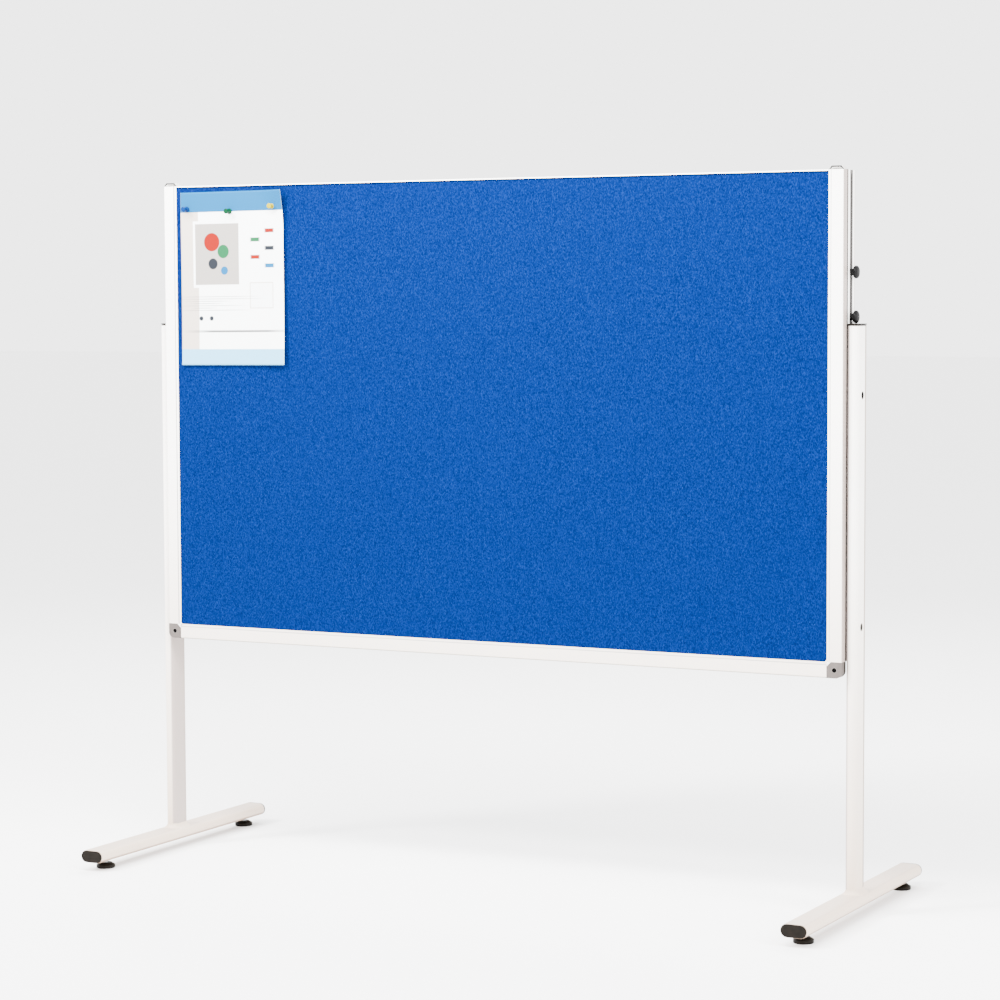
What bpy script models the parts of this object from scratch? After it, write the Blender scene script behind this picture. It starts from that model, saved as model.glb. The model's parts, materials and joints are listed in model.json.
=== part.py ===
"""Mobile pinboard: a framed felt board clamped between two T-shaped legs, piece by piece.

Lengths are in metres. The origin is on the floor, below the middle of the board and midway
between the front and rear ends of the feet. +X runs along the board to the right of someone
who faces its felt, +Y runs to the back and +Z up. Side is -1 on the left and +1 on the right.
"""
import math

import bmesh
import bpy
from mathutils import Matrix, Vector

# Board frame
BOARD_WIDTH = 1.250
BOARD_HEIGHT = 0.785
BOARD_BOTTOM = 0.375
FRAME_DEPTH = 0.018
RAIL_FACE = 0.025           # width of a side or bottom rail, seen from the front
RAIL_BODY = 0.017           # hollow part of a rail, outside the panel's pocket
RAIL_WALL = 0.0015
RAIL_EDGE_RADIUS = 0.0025
LIP_BAND = 0.004            # inner band of the lip, set back from the rail's face
LIP_STEP = 0.0008
LIP_INNER = 0.0022          # from the rail's face back to the pocket
TOP_TRIM_FACE = 0.002
TOP_TRIM_WEB = 0.0012
TOP_TRIM_RADIUS = 0.0006
TOP_CAP_RISE = 0.0055
TOP_CAP_CHAMFER = 0.0045
TOP_CAP_SETBACK = 0.006
TOP_CAP_TONGUE = 0.020

# Bottom corners of the frame
CORNER_RADIUS = 0.0105
CORNER_CHAMFER = 0.007
CORNER_TONGUE = 0.040
CORNER_BEVEL = 0.0005
SMALL_SCREW_RADIUS = 0.00175
SMALL_SCREW_HEAD_RADIUS = 0.0035
SMALL_SCREW_HEAD = 0.0024
CORNER_SCREW_RECESS = 0.0040
CORNER_SCREW_SINK = 0.0013  # from the cap's face back to the screw's head

# Panel
FELT_THICKNESS = 0.002

# Slotted channels behind the side rails
CHANNEL_DEPTH = 0.030
CHANNEL_WIDTH = 0.025
CHANNEL_WALL = 0.0015
CHANNEL_LIP = 0.002
SLOT_WIDTH = 0.007
SLOT_CAVITY_WIDTH = 0.012
SLOT_CAVITY_DEPTH = 0.007

# Legs
POST_GAP = 0.001            # between the board's edge and a post
POST_THICKNESS = 0.019
POST_WIDTH = 0.045
POST_TOP = 0.9215
TUBE_WALL = 0.0015
POST_CAP_FLANGE = 0.002
POST_CAP_OVERHANG = 0.0006
POST_CAP_TONGUE = 0.018
FOOT_LENGTH = 0.513
FOOT_WIDTH = 0.043
FOOT_THICKNESS = 0.021
FOOT_HEIGHT = 0.0252        # middle of the foot tube above the floor
FOOT_PLUG_TONGUE = 0.0145
FOOT_PLUG_FLANGE = 0.0012
FOOT_PLUG_INSET = 0.0006    # from the tube's outline in to the flange's
PLUG_BEVEL = 0.0004
ACCESS_HOLE_RADIUS = 0.0065

# Levelling glides
GLIDE_INSET = 0.040         # from the foot tube's end to a glide's axis
GLIDE_RADIUS = 0.016
GLIDE_TOP_RADIUS = 0.010
GLIDE_HEIGHT = 0.0095
GLIDE_RIM_HEIGHT = 0.0062
GLIDE_EDGE = 0.0009
GLIDE_SOCKET_FLOOR = 0.003
GLIDE_STUD_RADIUS = 0.004
GLIDE_STUD_TOP = 0.028
INSERT_RADIUS = 0.0067
INSERT_LENGTH = 0.010
INSERT_FLANGE_RADIUS = 0.009
INSERT_FLANGE = 0.0012

# Clamps between posts and channels
CLAMP_HEIGHTS = (0.453, 0.813)
CLAMP_SCREW_RADIUS = 0.003
CLAMP_HEAD_RADIUS = 0.005
CLAMP_HEAD = 0.004
CLAMP_SOCKET_RADIUS = 0.0024
CLAMP_SOCKET_DEPTH = 0.0025
CLAMP_FLANGE_RADIUS = 0.0065
CLAMP_FLANGE = 0.0012
NUT_HEIGHT = 0.014
NUT_THICKNESS = 0.0045
NUT_BEVEL = 0.00045
SCREW_OVERREACH = 0.0007    # past the inner face of a slot nut

# Stop knobs in the slots above the posts
KNOB_RADIUS = 0.010
KNOB_LENGTH = 0.0122
KNOB_NECK_RADIUS = 0.0046
KNOB_FOOT_RADIUS = 0.0056
KNOB_NECK_HEIGHT = 0.003
KNOB_SPACING = 0.069

# Pinned sheet and its push pins
SHEET_WIDTH = 0.210
SHEET_HEIGHT = 0.297
SHEET_THICKNESS = 0.0004
SHEET_SIDE_MARGIN = 0.008   # from the felt's left edge
SHEET_TOP_MARGIN = 0.0085   # from the felt's top edge
PIN_HEAD_LENGTH = 0.0125
PIN_BASE_RADIUS = 0.005
PIN_WAIST_RADIUS = 0.0027
PIN_TOP_RADIUS = 0.0046
PIN_BORE_DEPTH = 0.006
NEEDLE_RADIUS = 0.0006
NEEDLE_TIP_RADIUS = 0.00015
NEEDLE_POINT = 0.0027       # length of the needle's tapered end
NEEDLE_REACH = 0.0095       # past the pin's head, into the panel

# Clearances and smoothness
SEAT_GAP = 0.0003           # between pieces that rest on or fit in each other
CUT_OVERRUN = 0.002
MERGE_DISTANCE = 0.000003
BEVEL_SEGMENTS = 2
SMOOTH_ANGLE = math.radians(35)
HALF_OVAL_STEPS = 8
CORNER_STEPS = 6
TURN_STEPS = 24
SMALL_TURN_STEPS = 16

# Places of the pins on the sheet: colour, share of its width, share of its height from the top
PIN_SHARES = (("blue", 0.065, 0.100), ("green", 0.480, 0.115), ("yellow", 0.893, 0.090))

# Turned outlines, as shares of (radius, length) unless a comment says otherwise
KNOB_SHARES = ((0.60, 1.00), (0.86, 0.92), (0.98, 0.78), (1.00, 0.66), (0.93, 0.52), (0.66, 0.40))
PIN_HEAD_TOP_SHARES = ((0.70, 1.00), (0.95, 0.96), (1.00, 0.90), (0.92, 0.80))
PIN_BASE_SHARES = ((0.70, 0.26), (0.92, 0.17), (1.00, 0.11), (0.94, 0.00))
PIN_WAIST_SHARES = ((1.12, 0.66), (1.00, 0.50), (1.10, 0.36))

# Worked out from the sizes above, with the channels centred on the posts' middle plane
FRONT = -(FRAME_DEPTH + SEAT_GAP + CHANNEL_DEPTH / 2)
FRAME_BACK = FRONT + FRAME_DEPTH
BOARD_TOP = BOARD_BOTTOM + BOARD_HEIGHT
HALF_WIDTH = BOARD_WIDTH / 2
FELT_LEFT = -HALF_WIDTH + RAIL_FACE
FELT_TOP = BOARD_TOP - TOP_TRIM_FACE
FELT_FRONT = FRONT + LIP_INNER + SEAT_GAP
CORE_FRONT = FELT_FRONT + FELT_THICKNESS + SEAT_GAP
CORE_BACK = FRAME_BACK - (CORE_FRONT - FRONT)
CORE_THICKNESS = CORE_BACK - CORE_FRONT
PANEL_HALF_WIDTH = HALF_WIDTH - RAIL_BODY - SEAT_GAP
PANEL_BOTTOM = BOARD_BOTTOM + RAIL_BODY + SEAT_GAP
PANEL_TOP = BOARD_TOP - TOP_TRIM_WEB - SEAT_GAP
CHANNEL_BOTTOM = BOARD_BOTTOM + RAIL_FACE + SEAT_GAP
POST_INNER = HALF_WIDTH + POST_GAP
POST_X = POST_INNER + POST_THICKNESS / 2
FOOT_TOP = FOOT_HEIGHT + FOOT_THICKNESS / 2
FOOT_UNDERSIDE = FOOT_HEIGHT - FOOT_THICKNESS / 2
GLIDE_Y = FOOT_LENGTH / 2 - GLIDE_INSET
CAVITY_FLOOR = HALF_WIDTH - CHANNEL_LIP - SLOT_CAVITY_DEPTH
NUT_OUTER = HALF_WIDTH - CHANNEL_LIP - SEAT_GAP
NUT_X = NUT_OUTER - NUT_THICKNESS / 2
NUT_WIDTH = SLOT_CAVITY_WIDTH - 2 * SEAT_GAP
SCREW_END = NUT_OUTER - NUT_THICKNESS - SCREW_OVERREACH
POST_CAP_TOP = POST_TOP + SEAT_GAP + POST_CAP_FLANGE
LOWER_KNOB_HEIGHT = POST_CAP_TOP + SEAT_GAP + KNOB_RADIUS
KNOB_HEIGHTS = {"lower": LOWER_KNOB_HEIGHT, "upper": LOWER_KNOB_HEIGHT + KNOB_SPACING}
KNOB_BASE = HALF_WIDTH + SEAT_GAP
SHEET_LEFT = FELT_LEFT + SHEET_SIDE_MARGIN
SHEET_TOP = FELT_TOP - SHEET_TOP_MARGIN
SHEET_FRONT = FELT_FRONT - SEAT_GAP - SHEET_THICKNESS
PIN_BASE = SHEET_FRONT - SEAT_GAP

SIDES = (("left", -1), ("right", 1))
ENDS = (("front", -1), ("rear", 1))

# Rotations that carry a solid's own axes to the world's
UPRIGHT = (0.0, 0.0, 0.0)
ALONG_X = (math.pi / 2, 0.0, math.pi / 2)   # own X, Y, Z become Y, Z, X
FACING_FRONT = (math.pi / 2, 0.0, 0.0)      # own X, Y, Z become X, Z, -Y


def clear_scene():
    """Remove every object, so that the script can be run again."""
    for old in list(bpy.data.objects):
        bpy.data.objects.remove(old, do_unlink=True)


def new_collection(name):
    """Return a new collection linked to the scene."""
    made = bpy.data.collections.new(name)
    bpy.context.scene.collection.children.link(made)
    return made


clear_scene()
PARTS = new_collection("mobile_pinboard")
CUTTERS = new_collection("cutters")


def finish(name, color, roughness, metallic=0.0):
    """Return a Principled material."""
    made = bpy.data.materials.new(name)
    made.use_nodes = True
    shader = made.node_tree.nodes["Principled BSDF"]
    shader.inputs["Base Color"].default_value = (*color, 1.0)
    shader.inputs["Roughness"].default_value = roughness
    shader.inputs["Metallic"].default_value = metallic
    return made


WHITE_COAT = finish("white_powder_coat", (0.90, 0.88, 0.85), 0.42)
GREY_PLASTIC = finish("grey_plastic", (0.42, 0.40, 0.38), 0.55)
BLACK_PLASTIC = finish("black_plastic", (0.03, 0.028, 0.025), 0.50)
CAP_PLASTIC = finish("cap_plastic", (0.55, 0.53, 0.50), 0.50)
ZINC = finish("zinc_steel", (0.62, 0.62, 0.60), 0.35, 1.0)
DARK_STEEL = finish("dark_steel", (0.08, 0.08, 0.08), 0.40, 1.0)
CORE = finish("softboard", (0.55, 0.45, 0.32), 0.90)
FELT = finish("blue_felt", (0.02, 0.13, 0.48), 0.95)
PAPER = finish("paper", (0.90, 0.90, 0.88), 0.60)
PIN_FINISHES = {
    "blue": finish("blue_plastic", (0.02, 0.22, 0.60), 0.30),
    "green": finish("green_plastic", (0.02, 0.35, 0.12), 0.30),
    "yellow": finish("yellow_plastic", (0.85, 0.55, 0.03), 0.30),
}


def place(solid, location, rotation, material, collection=PARTS):
    """Link a new object, place it and give it its material."""
    collection.objects.link(solid)
    solid.location = location
    solid.rotation_euler = rotation
    if material is not None:
        solid.data.materials.append(material)
    return solid


def stash(cutter):
    """Move a cutter out of the part."""
    for home in list(cutter.users_collection):
        home.objects.unlink(cutter)
    CUTTERS.objects.link(cutter)
    cutter.hide_render = True
    cutter.display_type = "WIRE"
    return cutter


def evaluated_mesh(solid):
    """Return a new mesh of an object with its modifiers applied."""
    bpy.context.view_layer.update()
    graph = bpy.context.evaluated_depsgraph_get()
    return bpy.data.meshes.new_from_object(solid.evaluated_get(graph))


def smooth(solid):
    """Shade a round piece smooth up to its sharp edges."""
    solid.data.shade_smooth()
    solid.data.set_sharp_from_angle(angle=SMOOTH_ANGLE)
    return solid


def round_edges(solid, width):
    """Round a piece's sharp edges."""
    rounding = solid.modifiers.new("rounded_edges", "BEVEL")
    rounding.width = width
    rounding.segments = BEVEL_SEGMENTS
    return solid


def outline_solid(name, loops, length, location, rotation, material):
    """Extrude flat closed loops by length along their own Z, centred on the location."""
    curve = bpy.data.curves.new(name, "CURVE")
    curve.dimensions = "2D"
    curve.fill_mode = "BOTH"
    curve.extrude = length / 2
    for loop in loops:
        spline = curve.splines.new("POLY")
        spline.points.add(len(loop) - 1)
        for point, (x, y) in zip(spline.points, loop):
            point.co = (x, y, 0.0, 1.0)
        spline.use_cyclic_u = True
    guide = bpy.data.objects.new(name, curve)
    bpy.context.scene.collection.objects.link(guide)
    mesh = evaluated_mesh(guide)
    bpy.data.objects.remove(guide, do_unlink=True)
    bpy.data.curves.remove(curve)
    shell = bmesh.new()
    shell.from_mesh(mesh)
    bmesh.ops.remove_doubles(shell, verts=shell.verts, dist=MERGE_DISTANCE)
    bmesh.ops.recalc_face_normals(shell, faces=shell.faces)
    shell.to_mesh(mesh)
    shell.free()
    mesh.name = name
    return place(bpy.data.objects.new(name, mesh), location, rotation, material)


def block(name, size, centre, material, bevel=0.0):
    """Make a box, with its edges rounded by bevel."""
    bpy.ops.mesh.primitive_cube_add(size=1.0)
    made = bpy.context.active_object
    made.name = name
    made.data.name = name
    made.data.transform(Matrix.Diagonal((*size, 1.0)))
    for home in list(made.users_collection):
        home.objects.unlink(made)
    place(made, centre, UPRIGHT, material)
    if bevel > 0.0:
        round_edges(made, bevel)
    return made


def turned(name, profile, location, direction, material, steps=TURN_STEPS):
    """Turn a (radius, height) profile, top to bottom on its outer side, about its own Z.

    direction is the world direction that the profile's height points in.
    """
    mesh = bpy.data.meshes.new(name)
    shell = bmesh.new()
    corners = [shell.verts.new((radius, 0.0, height)) for radius, height in profile]
    for first, second in zip(corners, corners[1:]):
        shell.edges.new((first, second))
    if profile[0][0] > 0.0:
        shell.edges.new((corners[-1], corners[0]))
    shell.to_mesh(mesh)
    shell.free()
    rotation = Vector((0.0, 0.0, 1.0)).rotation_difference(Vector(direction)).to_euler()
    made = place(bpy.data.objects.new(name, mesh), location, rotation, material)
    screw = made.modifiers.new("turning", "SCREW")
    screw.steps = steps
    screw.render_steps = steps
    screw.use_merge_vertices = True
    screw.merge_threshold = MERGE_DISTANCE
    made.data = evaluated_mesh(made)
    made.data.name = name
    made.modifiers.clear()
    return smooth(made)


def rod(name, radius, start, end, material, steps=TURN_STEPS):
    """Make a solid cylinder between two points."""
    start = Vector(start)
    span = Vector(end) - start
    profile = [(0.0, span.length), (radius, span.length), (radius, 0.0), (0.0, 0.0)]
    return turned(name, profile, start, span.normalized(), material, steps)


def combine(solid, tool, operation):
    """Cut a tool out of a solid, or join it on, and put the tool away."""
    boolean = solid.modifiers.new(tool.name, "BOOLEAN")
    boolean.operation = operation
    boolean.solver = "EXACT"
    boolean.object = stash(tool)
    return solid


def drill(solid, name, radius, start, end, steps=TURN_STEPS):
    """Cut a round hole between two points."""
    return combine(solid, rod(f"{name}_cutter", radius, start, end, None, steps), "DIFFERENCE")


def arc(centre, radius, start, end, steps):
    """Return points on an arc, from one angle to another in degrees."""
    points = []
    for step in range(steps + 1):
        angle = math.radians(start + (end - start) * step / steps)
        points.append((centre[0] + radius * math.cos(angle), centre[1] + radius * math.sin(angle)))
    return points


def oval_loop(width, height):
    """Return a flat oval: two half circles joined by straight sides."""
    radius = min(width, height) / 2
    reach_x = width / 2 - radius
    reach_y = height / 2 - radius
    turn = 0 if width >= height else 90
    first = arc((reach_x, reach_y), radius, turn - 90, turn + 90, HALF_OVAL_STEPS)
    second = arc((-reach_x, -reach_y), radius, turn + 90, turn + 270, HALF_OVAL_STEPS)
    return first + second


def rectangle_loop(left, right, low, high):
    """Return the corners of a rectangle."""
    return [(left, low), (right, low), (right, high), (left, high)]


def mirrored(loop, side):
    """Return a loop drawn inwards from the board's edge, turned to suit its side."""
    return [(-side * across, back) for across, back in loop]


def rail_loops():
    """Return a rail's section as (across, back) from its outer front edge, with its chamber."""
    band = RAIL_FACE - LIP_BAND
    radius = RAIL_EDGE_RADIUS
    outer = [(RAIL_FACE, LIP_STEP), (band, LIP_STEP), (band, 0.0)]
    outer += arc((radius, radius), radius, 270, 180, CORNER_STEPS)
    outer += arc((radius, FRAME_DEPTH - radius), radius, 180, 90, CORNER_STEPS)
    outer += [(band, FRAME_DEPTH), (band, FRAME_DEPTH - LIP_STEP), (RAIL_FACE, FRAME_DEPTH - LIP_STEP)]
    outer += [(RAIL_FACE, FRAME_DEPTH - LIP_INNER), (RAIL_BODY, FRAME_DEPTH - LIP_INNER)]
    outer += [(RAIL_BODY, LIP_INNER), (RAIL_FACE, LIP_INNER)]
    chamber = rectangle_loop(RAIL_WALL, RAIL_BODY - RAIL_WALL, RAIL_WALL, FRAME_DEPTH - RAIL_WALL)
    return outer, chamber


def top_trim_loop():
    """Return the top trim's section as (back, down) from its upper front edge."""
    radius = TOP_TRIM_RADIUS
    loop = [(LIP_INNER, TOP_TRIM_FACE), (0.0, TOP_TRIM_FACE)]
    loop += arc((radius, radius), radius, 180, 270, CORNER_STEPS // 2)
    loop += arc((FRAME_DEPTH - radius, radius), radius, 270, 360, CORNER_STEPS // 2)
    loop += [(FRAME_DEPTH, TOP_TRIM_FACE), (FRAME_DEPTH - LIP_INNER, TOP_TRIM_FACE)]
    loop += [(FRAME_DEPTH - LIP_INNER, TOP_TRIM_WEB), (LIP_INNER, TOP_TRIM_WEB)]
    return [(back, -down) for back, down in loop]


def channel_loops():
    """Return a channel's section as (across, back) from the board's edge, about its middle."""
    half_depth = CHANNEL_DEPTH / 2
    half_slot = SLOT_WIDTH / 2
    half_cavity = SLOT_CAVITY_WIDTH / 2
    floor = CHANNEL_LIP + SLOT_CAVITY_DEPTH
    outer = [(0.0, half_slot), (CHANNEL_LIP, half_slot), (CHANNEL_LIP, half_cavity)]
    outer += [(floor, half_cavity), (floor, -half_cavity), (CHANNEL_LIP, -half_cavity)]
    outer += [(CHANNEL_LIP, -half_slot), (0.0, -half_slot), (0.0, -half_depth)]
    outer += [(CHANNEL_WIDTH, -half_depth), (CHANNEL_WIDTH, half_depth), (0.0, half_depth)]
    chamber = rectangle_loop(floor + CHANNEL_WALL, CHANNEL_WIDTH - CHANNEL_WALL,
                             CHANNEL_WALL - half_depth, half_depth - CHANNEL_WALL)
    return outer, chamber


def build_rails():
    """Make the side rails, the bottom rail and the top trim."""
    outer, chamber = rail_loops()
    side_length = BOARD_HEIGHT - RAIL_FACE - SEAT_GAP
    for name, side in SIDES:
        outline_solid(f"{name}_side_rail", [mirrored(outer, side), mirrored(chamber, side)], side_length,
                      (side * HALF_WIDTH, FRONT, BOARD_TOP - side_length / 2), UPRIGHT, WHITE_COAT)
    bottom_length = BOARD_WIDTH - 2 * (RAIL_FACE + SEAT_GAP)
    turned_loops = [[(back, across) for across, back in loop] for loop in (outer, chamber)]
    outline_solid("bottom_rail", turned_loops, bottom_length, (0.0, FRONT, BOARD_BOTTOM), ALONG_X, WHITE_COAT)
    outline_solid("top_trim", [top_trim_loop()], bottom_length, (0.0, FRONT, BOARD_TOP), ALONG_X, WHITE_COAT)


def tongue(name, side, across, height, material=None):
    """Make a tongue that fits a rail's chamber, from two spans across and up."""
    depth = FRAME_DEPTH - 2 * (RAIL_WALL + SEAT_GAP)
    size = (across[1] - across[0], depth, height[1] - height[0])
    centre = (side * (HALF_WIDTH - (across[0] + across[1]) / 2), FRONT + FRAME_DEPTH / 2,
              BOARD_BOTTOM + (height[0] + height[1]) / 2)
    return block(name, size, centre, material)


def build_corners():
    """Make the bottom corner pieces with their tongues and screws, and the caps on the side rails."""
    inset = RAIL_FACE - CORNER_CHAMFER
    outline = [(RAIL_FACE, 0.0)]
    outline += arc((CORNER_RADIUS, CORNER_RADIUS), CORNER_RADIUS, 270, 180, 2 * CORNER_STEPS)
    outline += [(0.0, RAIL_FACE), (inset, RAIL_FACE), (RAIL_FACE, inset)]
    fitted = (RAIL_WALL + SEAT_GAP, RAIL_BODY - RAIL_WALL - SEAT_GAP)
    reach = (RAIL_BODY - CUT_OVERRUN, RAIL_FACE + CORNER_TONGUE)
    middle = RAIL_FACE / 2
    for name, side in SIDES:
        corner = outline_solid(f"{name}_bottom_corner", [mirrored(outline, side)], FRAME_DEPTH,
                               (side * HALF_WIDTH, FRONT + FRAME_DEPTH / 2, BOARD_BOTTOM), FACING_FRONT,
                               GREY_PLASTIC)
        round_edges(corner, CORNER_BEVEL)
        panel_cut = PANEL_HALF_WIDTH + SEAT_GAP
        pocket_size = (RAIL_FACE, FRAME_DEPTH - 2 * LIP_INNER, RAIL_FACE)
        pocket_centre = (side * (panel_cut - RAIL_FACE / 2), FRONT + FRAME_DEPTH / 2,
                         PANEL_BOTTOM - SEAT_GAP + RAIL_FACE / 2)
        combine(corner, block(f"{name}_panel_cutter", pocket_size, pocket_centre, None), "DIFFERENCE")
        combine(corner, tongue(f"{name}_upper_tongue", side, fitted, reach), "UNION")
        combine(corner, tongue(f"{name}_lower_tongue", side, reach, fitted), "UNION")
        place_x = side * (HALF_WIDTH - middle)
        place_z = BOARD_BOTTOM + middle
        drill(corner, f"{name}_corner_hole", SMALL_SCREW_RADIUS + SEAT_GAP,
              (place_x, FRONT - CUT_OVERRUN, place_z), (place_x, FRAME_BACK + CUT_OVERRUN, place_z),
              SMALL_TURN_STEPS)
        drill(corner, f"{name}_corner_recess", SMALL_SCREW_HEAD_RADIUS + SEAT_GAP,
              (place_x, FRONT - CUT_OVERRUN, place_z), (place_x, FRONT + CORNER_SCREW_RECESS, place_z))
        head = CORNER_SCREW_SINK + SMALL_SCREW_HEAD
        profile = [(0.0, -CORNER_SCREW_SINK), (SMALL_SCREW_HEAD_RADIUS, -CORNER_SCREW_SINK),
                   (SMALL_SCREW_HEAD_RADIUS, -head), (SMALL_SCREW_RADIUS, -head),
                   (SMALL_SCREW_RADIUS, SEAT_GAP - FRAME_DEPTH), (0.0, SEAT_GAP - FRAME_DEPTH)]
        turned(f"{name}_corner_screw", profile, (place_x, FRONT, place_z), (0.0, -1.0, 0.0), DARK_STEEL,
               SMALL_TURN_STEPS)
        build_top_cap(name, side, fitted)


def build_top_cap(name, side, fitted):
    """Make the chamfered cap that closes a side rail's top end, with a tongue down its chamber."""
    rise = TOP_CAP_RISE
    outline = [(0.0, 0.0), (RAIL_FACE, 0.0), (RAIL_FACE - TOP_CAP_CHAMFER, rise), (TOP_CAP_CHAMFER, rise)]
    depth = FRAME_DEPTH - TOP_CAP_SETBACK
    middle = FRAME_BACK - depth / 2
    cap = outline_solid(f"{name}_top_cap", [mirrored(outline, side)], depth,
                        (side * HALF_WIDTH, middle, BOARD_TOP + SEAT_GAP), FACING_FRONT, CAP_PLASTIC)
    spans = (BOARD_HEIGHT - TOP_CAP_TONGUE, BOARD_HEIGHT + rise / 2)
    combine(cap, tongue(f"{name}_cap_tongue", side, fitted, spans), "UNION")
    trim_front = FRONT + TOP_CAP_SETBACK
    front_size = (RAIL_FACE, TOP_CAP_SETBACK, rise)
    front_centre = (side * (HALF_WIDTH - RAIL_FACE / 2), trim_front - TOP_CAP_SETBACK / 2,
                    BOARD_TOP + SEAT_GAP + rise / 2)
    combine(cap, block(f"{name}_cap_front_cutter", front_size, front_centre, None), "DIFFERENCE")


def build_panel():
    """Make the softboard core and the felt on either side, and return them by name."""
    width = 2 * PANEL_HALF_WIDTH
    height = PANEL_TOP - PANEL_BOTTOM
    middle_z = (PANEL_TOP + PANEL_BOTTOM) / 2
    layers = {
        "core_board": (CORE_FRONT, CORE_THICKNESS, CORE),
        "front_felt": (FELT_FRONT, FELT_THICKNESS, FELT),
        "rear_felt": (CORE_BACK + SEAT_GAP, FELT_THICKNESS, FELT),
    }
    made = {}
    for name, (front, thickness, material) in layers.items():
        made[name] = block(name, (width, thickness, height), (0.0, front + thickness / 2, middle_z), material)
    return made


def build_sheet_and_pins(panel):
    """Make the pinned sheet and its push pins, and their holes in the sheet and the panel."""
    centre = (SHEET_LEFT + SHEET_WIDTH / 2, SHEET_FRONT + SHEET_THICKNESS / 2, SHEET_TOP - SHEET_HEIGHT / 2)
    sheet = block("notice_sheet", (SHEET_WIDTH, SHEET_THICKNESS, SHEET_HEIGHT), centre, PAPER)
    length = PIN_HEAD_LENGTH
    bore = NEEDLE_RADIUS + SEAT_GAP
    profile = [(0.0, length)]
    profile += [(share * PIN_TOP_RADIUS, reach * length) for share, reach in PIN_HEAD_TOP_SHARES]
    profile += [(share * PIN_WAIST_RADIUS, reach * length) for share, reach in PIN_WAIST_SHARES]
    profile += [(share * PIN_BASE_RADIUS, reach * length) for share, reach in PIN_BASE_SHARES]
    profile += [(bore, 0.0), (bore, PIN_BORE_DEPTH), (0.0, PIN_BORE_DEPTH)]
    for color, across, down in PIN_SHARES:
        x = SHEET_LEFT + across * SHEET_WIDTH
        z = SHEET_TOP - down * SHEET_HEIGHT
        turned(f"{color}_pin_head", profile, (x, PIN_BASE, z), (0.0, -1.0, 0.0), PIN_FINISHES[color],
               SMALL_TURN_STEPS)
        inner = PIN_BASE - PIN_BORE_DEPTH + SEAT_GAP
        tip = PIN_BASE + NEEDLE_REACH
        reach = tip - inner
        needle = [(0.0, reach), (NEEDLE_TIP_RADIUS, reach), (NEEDLE_RADIUS, reach - NEEDLE_POINT),
                  (NEEDLE_RADIUS, 0.0), (0.0, 0.0)]
        turned(f"{color}_pin_needle", needle, (x, inner, z), (0.0, 1.0, 0.0), ZINC, SMALL_TURN_STEPS)
        for layer in (sheet, panel["front_felt"], panel["core_board"]):
            drill(layer, f"{layer.name}_{color}_hole", bore, (x, PIN_BASE - CUT_OVERRUN, z),
                  (x, tip + SEAT_GAP, z), SMALL_TURN_STEPS)


def build_channels():
    """Make the slotted channels behind the side rails."""
    outer, chamber = channel_loops()
    length = BOARD_TOP - CHANNEL_BOTTOM
    for name, side in SIDES:
        outline_solid(f"{name}_channel", [mirrored(outer, side), mirrored(chamber, side)], length,
                      (side * HALF_WIDTH, 0.0, CHANNEL_BOTTOM + length / 2), UPRIGHT, WHITE_COAT)


def tube_loops(width, height):
    """Return a flat-oval tube's outer and inner outlines."""
    wall = 2 * TUBE_WALL
    return [oval_loop(width, height), oval_loop(width - wall, height - wall)]


def plug_loop(width, height):
    """Return the outline of a plug that fits in a flat-oval tube."""
    fit = 2 * (TUBE_WALL + SEAT_GAP)
    return oval_loop(width - fit, height - fit)


def build_feet():
    """Make the foot tubes with holes for their inserts, and the plugs in their ends."""
    for name, side in SIDES:
        foot = outline_solid(f"{name}_foot_tube", tube_loops(FOOT_WIDTH, FOOT_THICKNESS), FOOT_LENGTH,
                             (side * POST_X, 0.0, FOOT_HEIGHT), FACING_FRONT, WHITE_COAT)
        smooth(foot)
        for end, way in ENDS:
            build_foot_plug(f"{name}_{end}_foot_plug", side, way)
            drill(foot, f"{name}_{end}_insert_hole", INSERT_RADIUS + SEAT_GAP,
                  (side * POST_X, way * GLIDE_Y, 0.0), (side * POST_X, way * GLIDE_Y, FOOT_HEIGHT))


def build_foot_plug(name, side, way):
    """Make the plug in a foot tube's end: a flange over the tube's rim, and a tongue inside."""
    inset = 2 * FOOT_PLUG_INSET
    middle = FOOT_LENGTH / 2 + SEAT_GAP + FOOT_PLUG_FLANGE / 2
    plug = outline_solid(name, [oval_loop(FOOT_WIDTH - inset, FOOT_THICKNESS - inset)], FOOT_PLUG_FLANGE,
                         (side * POST_X, way * middle, FOOT_HEIGHT), FACING_FRONT, BLACK_PLASTIC)
    round_edges(plug, PLUG_BEVEL)
    length = FOOT_PLUG_TONGUE + SEAT_GAP + FOOT_PLUG_FLANGE / 2
    inner = outline_solid(f"{name}_tongue", [plug_loop(FOOT_WIDTH, FOOT_THICKNESS)], length,
                          (side * POST_X, way * (middle - length / 2), FOOT_HEIGHT), FACING_FRONT, None)
    smooth(combine(plug, inner, "UNION"))


def build_posts():
    """Make the posts with their screw holes and access holes, and the caps on top."""
    length = POST_TOP - FOOT_TOP - SEAT_GAP
    outer = POST_INNER + POST_THICKNESS
    for name, side in SIDES:
        post = outline_solid(f"{name}_post", tube_loops(POST_THICKNESS, POST_WIDTH), length,
                             (side * POST_X, 0.0, POST_TOP - length / 2), UPRIGHT, WHITE_COAT)
        smooth(post)
        for level, z in zip(("lower", "upper"), CLAMP_HEIGHTS):
            drill(post, f"{name}_{level}_screw_hole", CLAMP_SCREW_RADIUS + SEAT_GAP,
                  (side * HALF_WIDTH, 0.0, z), (side * POST_X, 0.0, z))
            drill(post, f"{name}_{level}_access_hole", ACCESS_HOLE_RADIUS, (side * POST_X, 0.0, z),
                  (side * (outer + CUT_OVERRUN), 0.0, z))
        build_post_cap(name, side)


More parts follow.
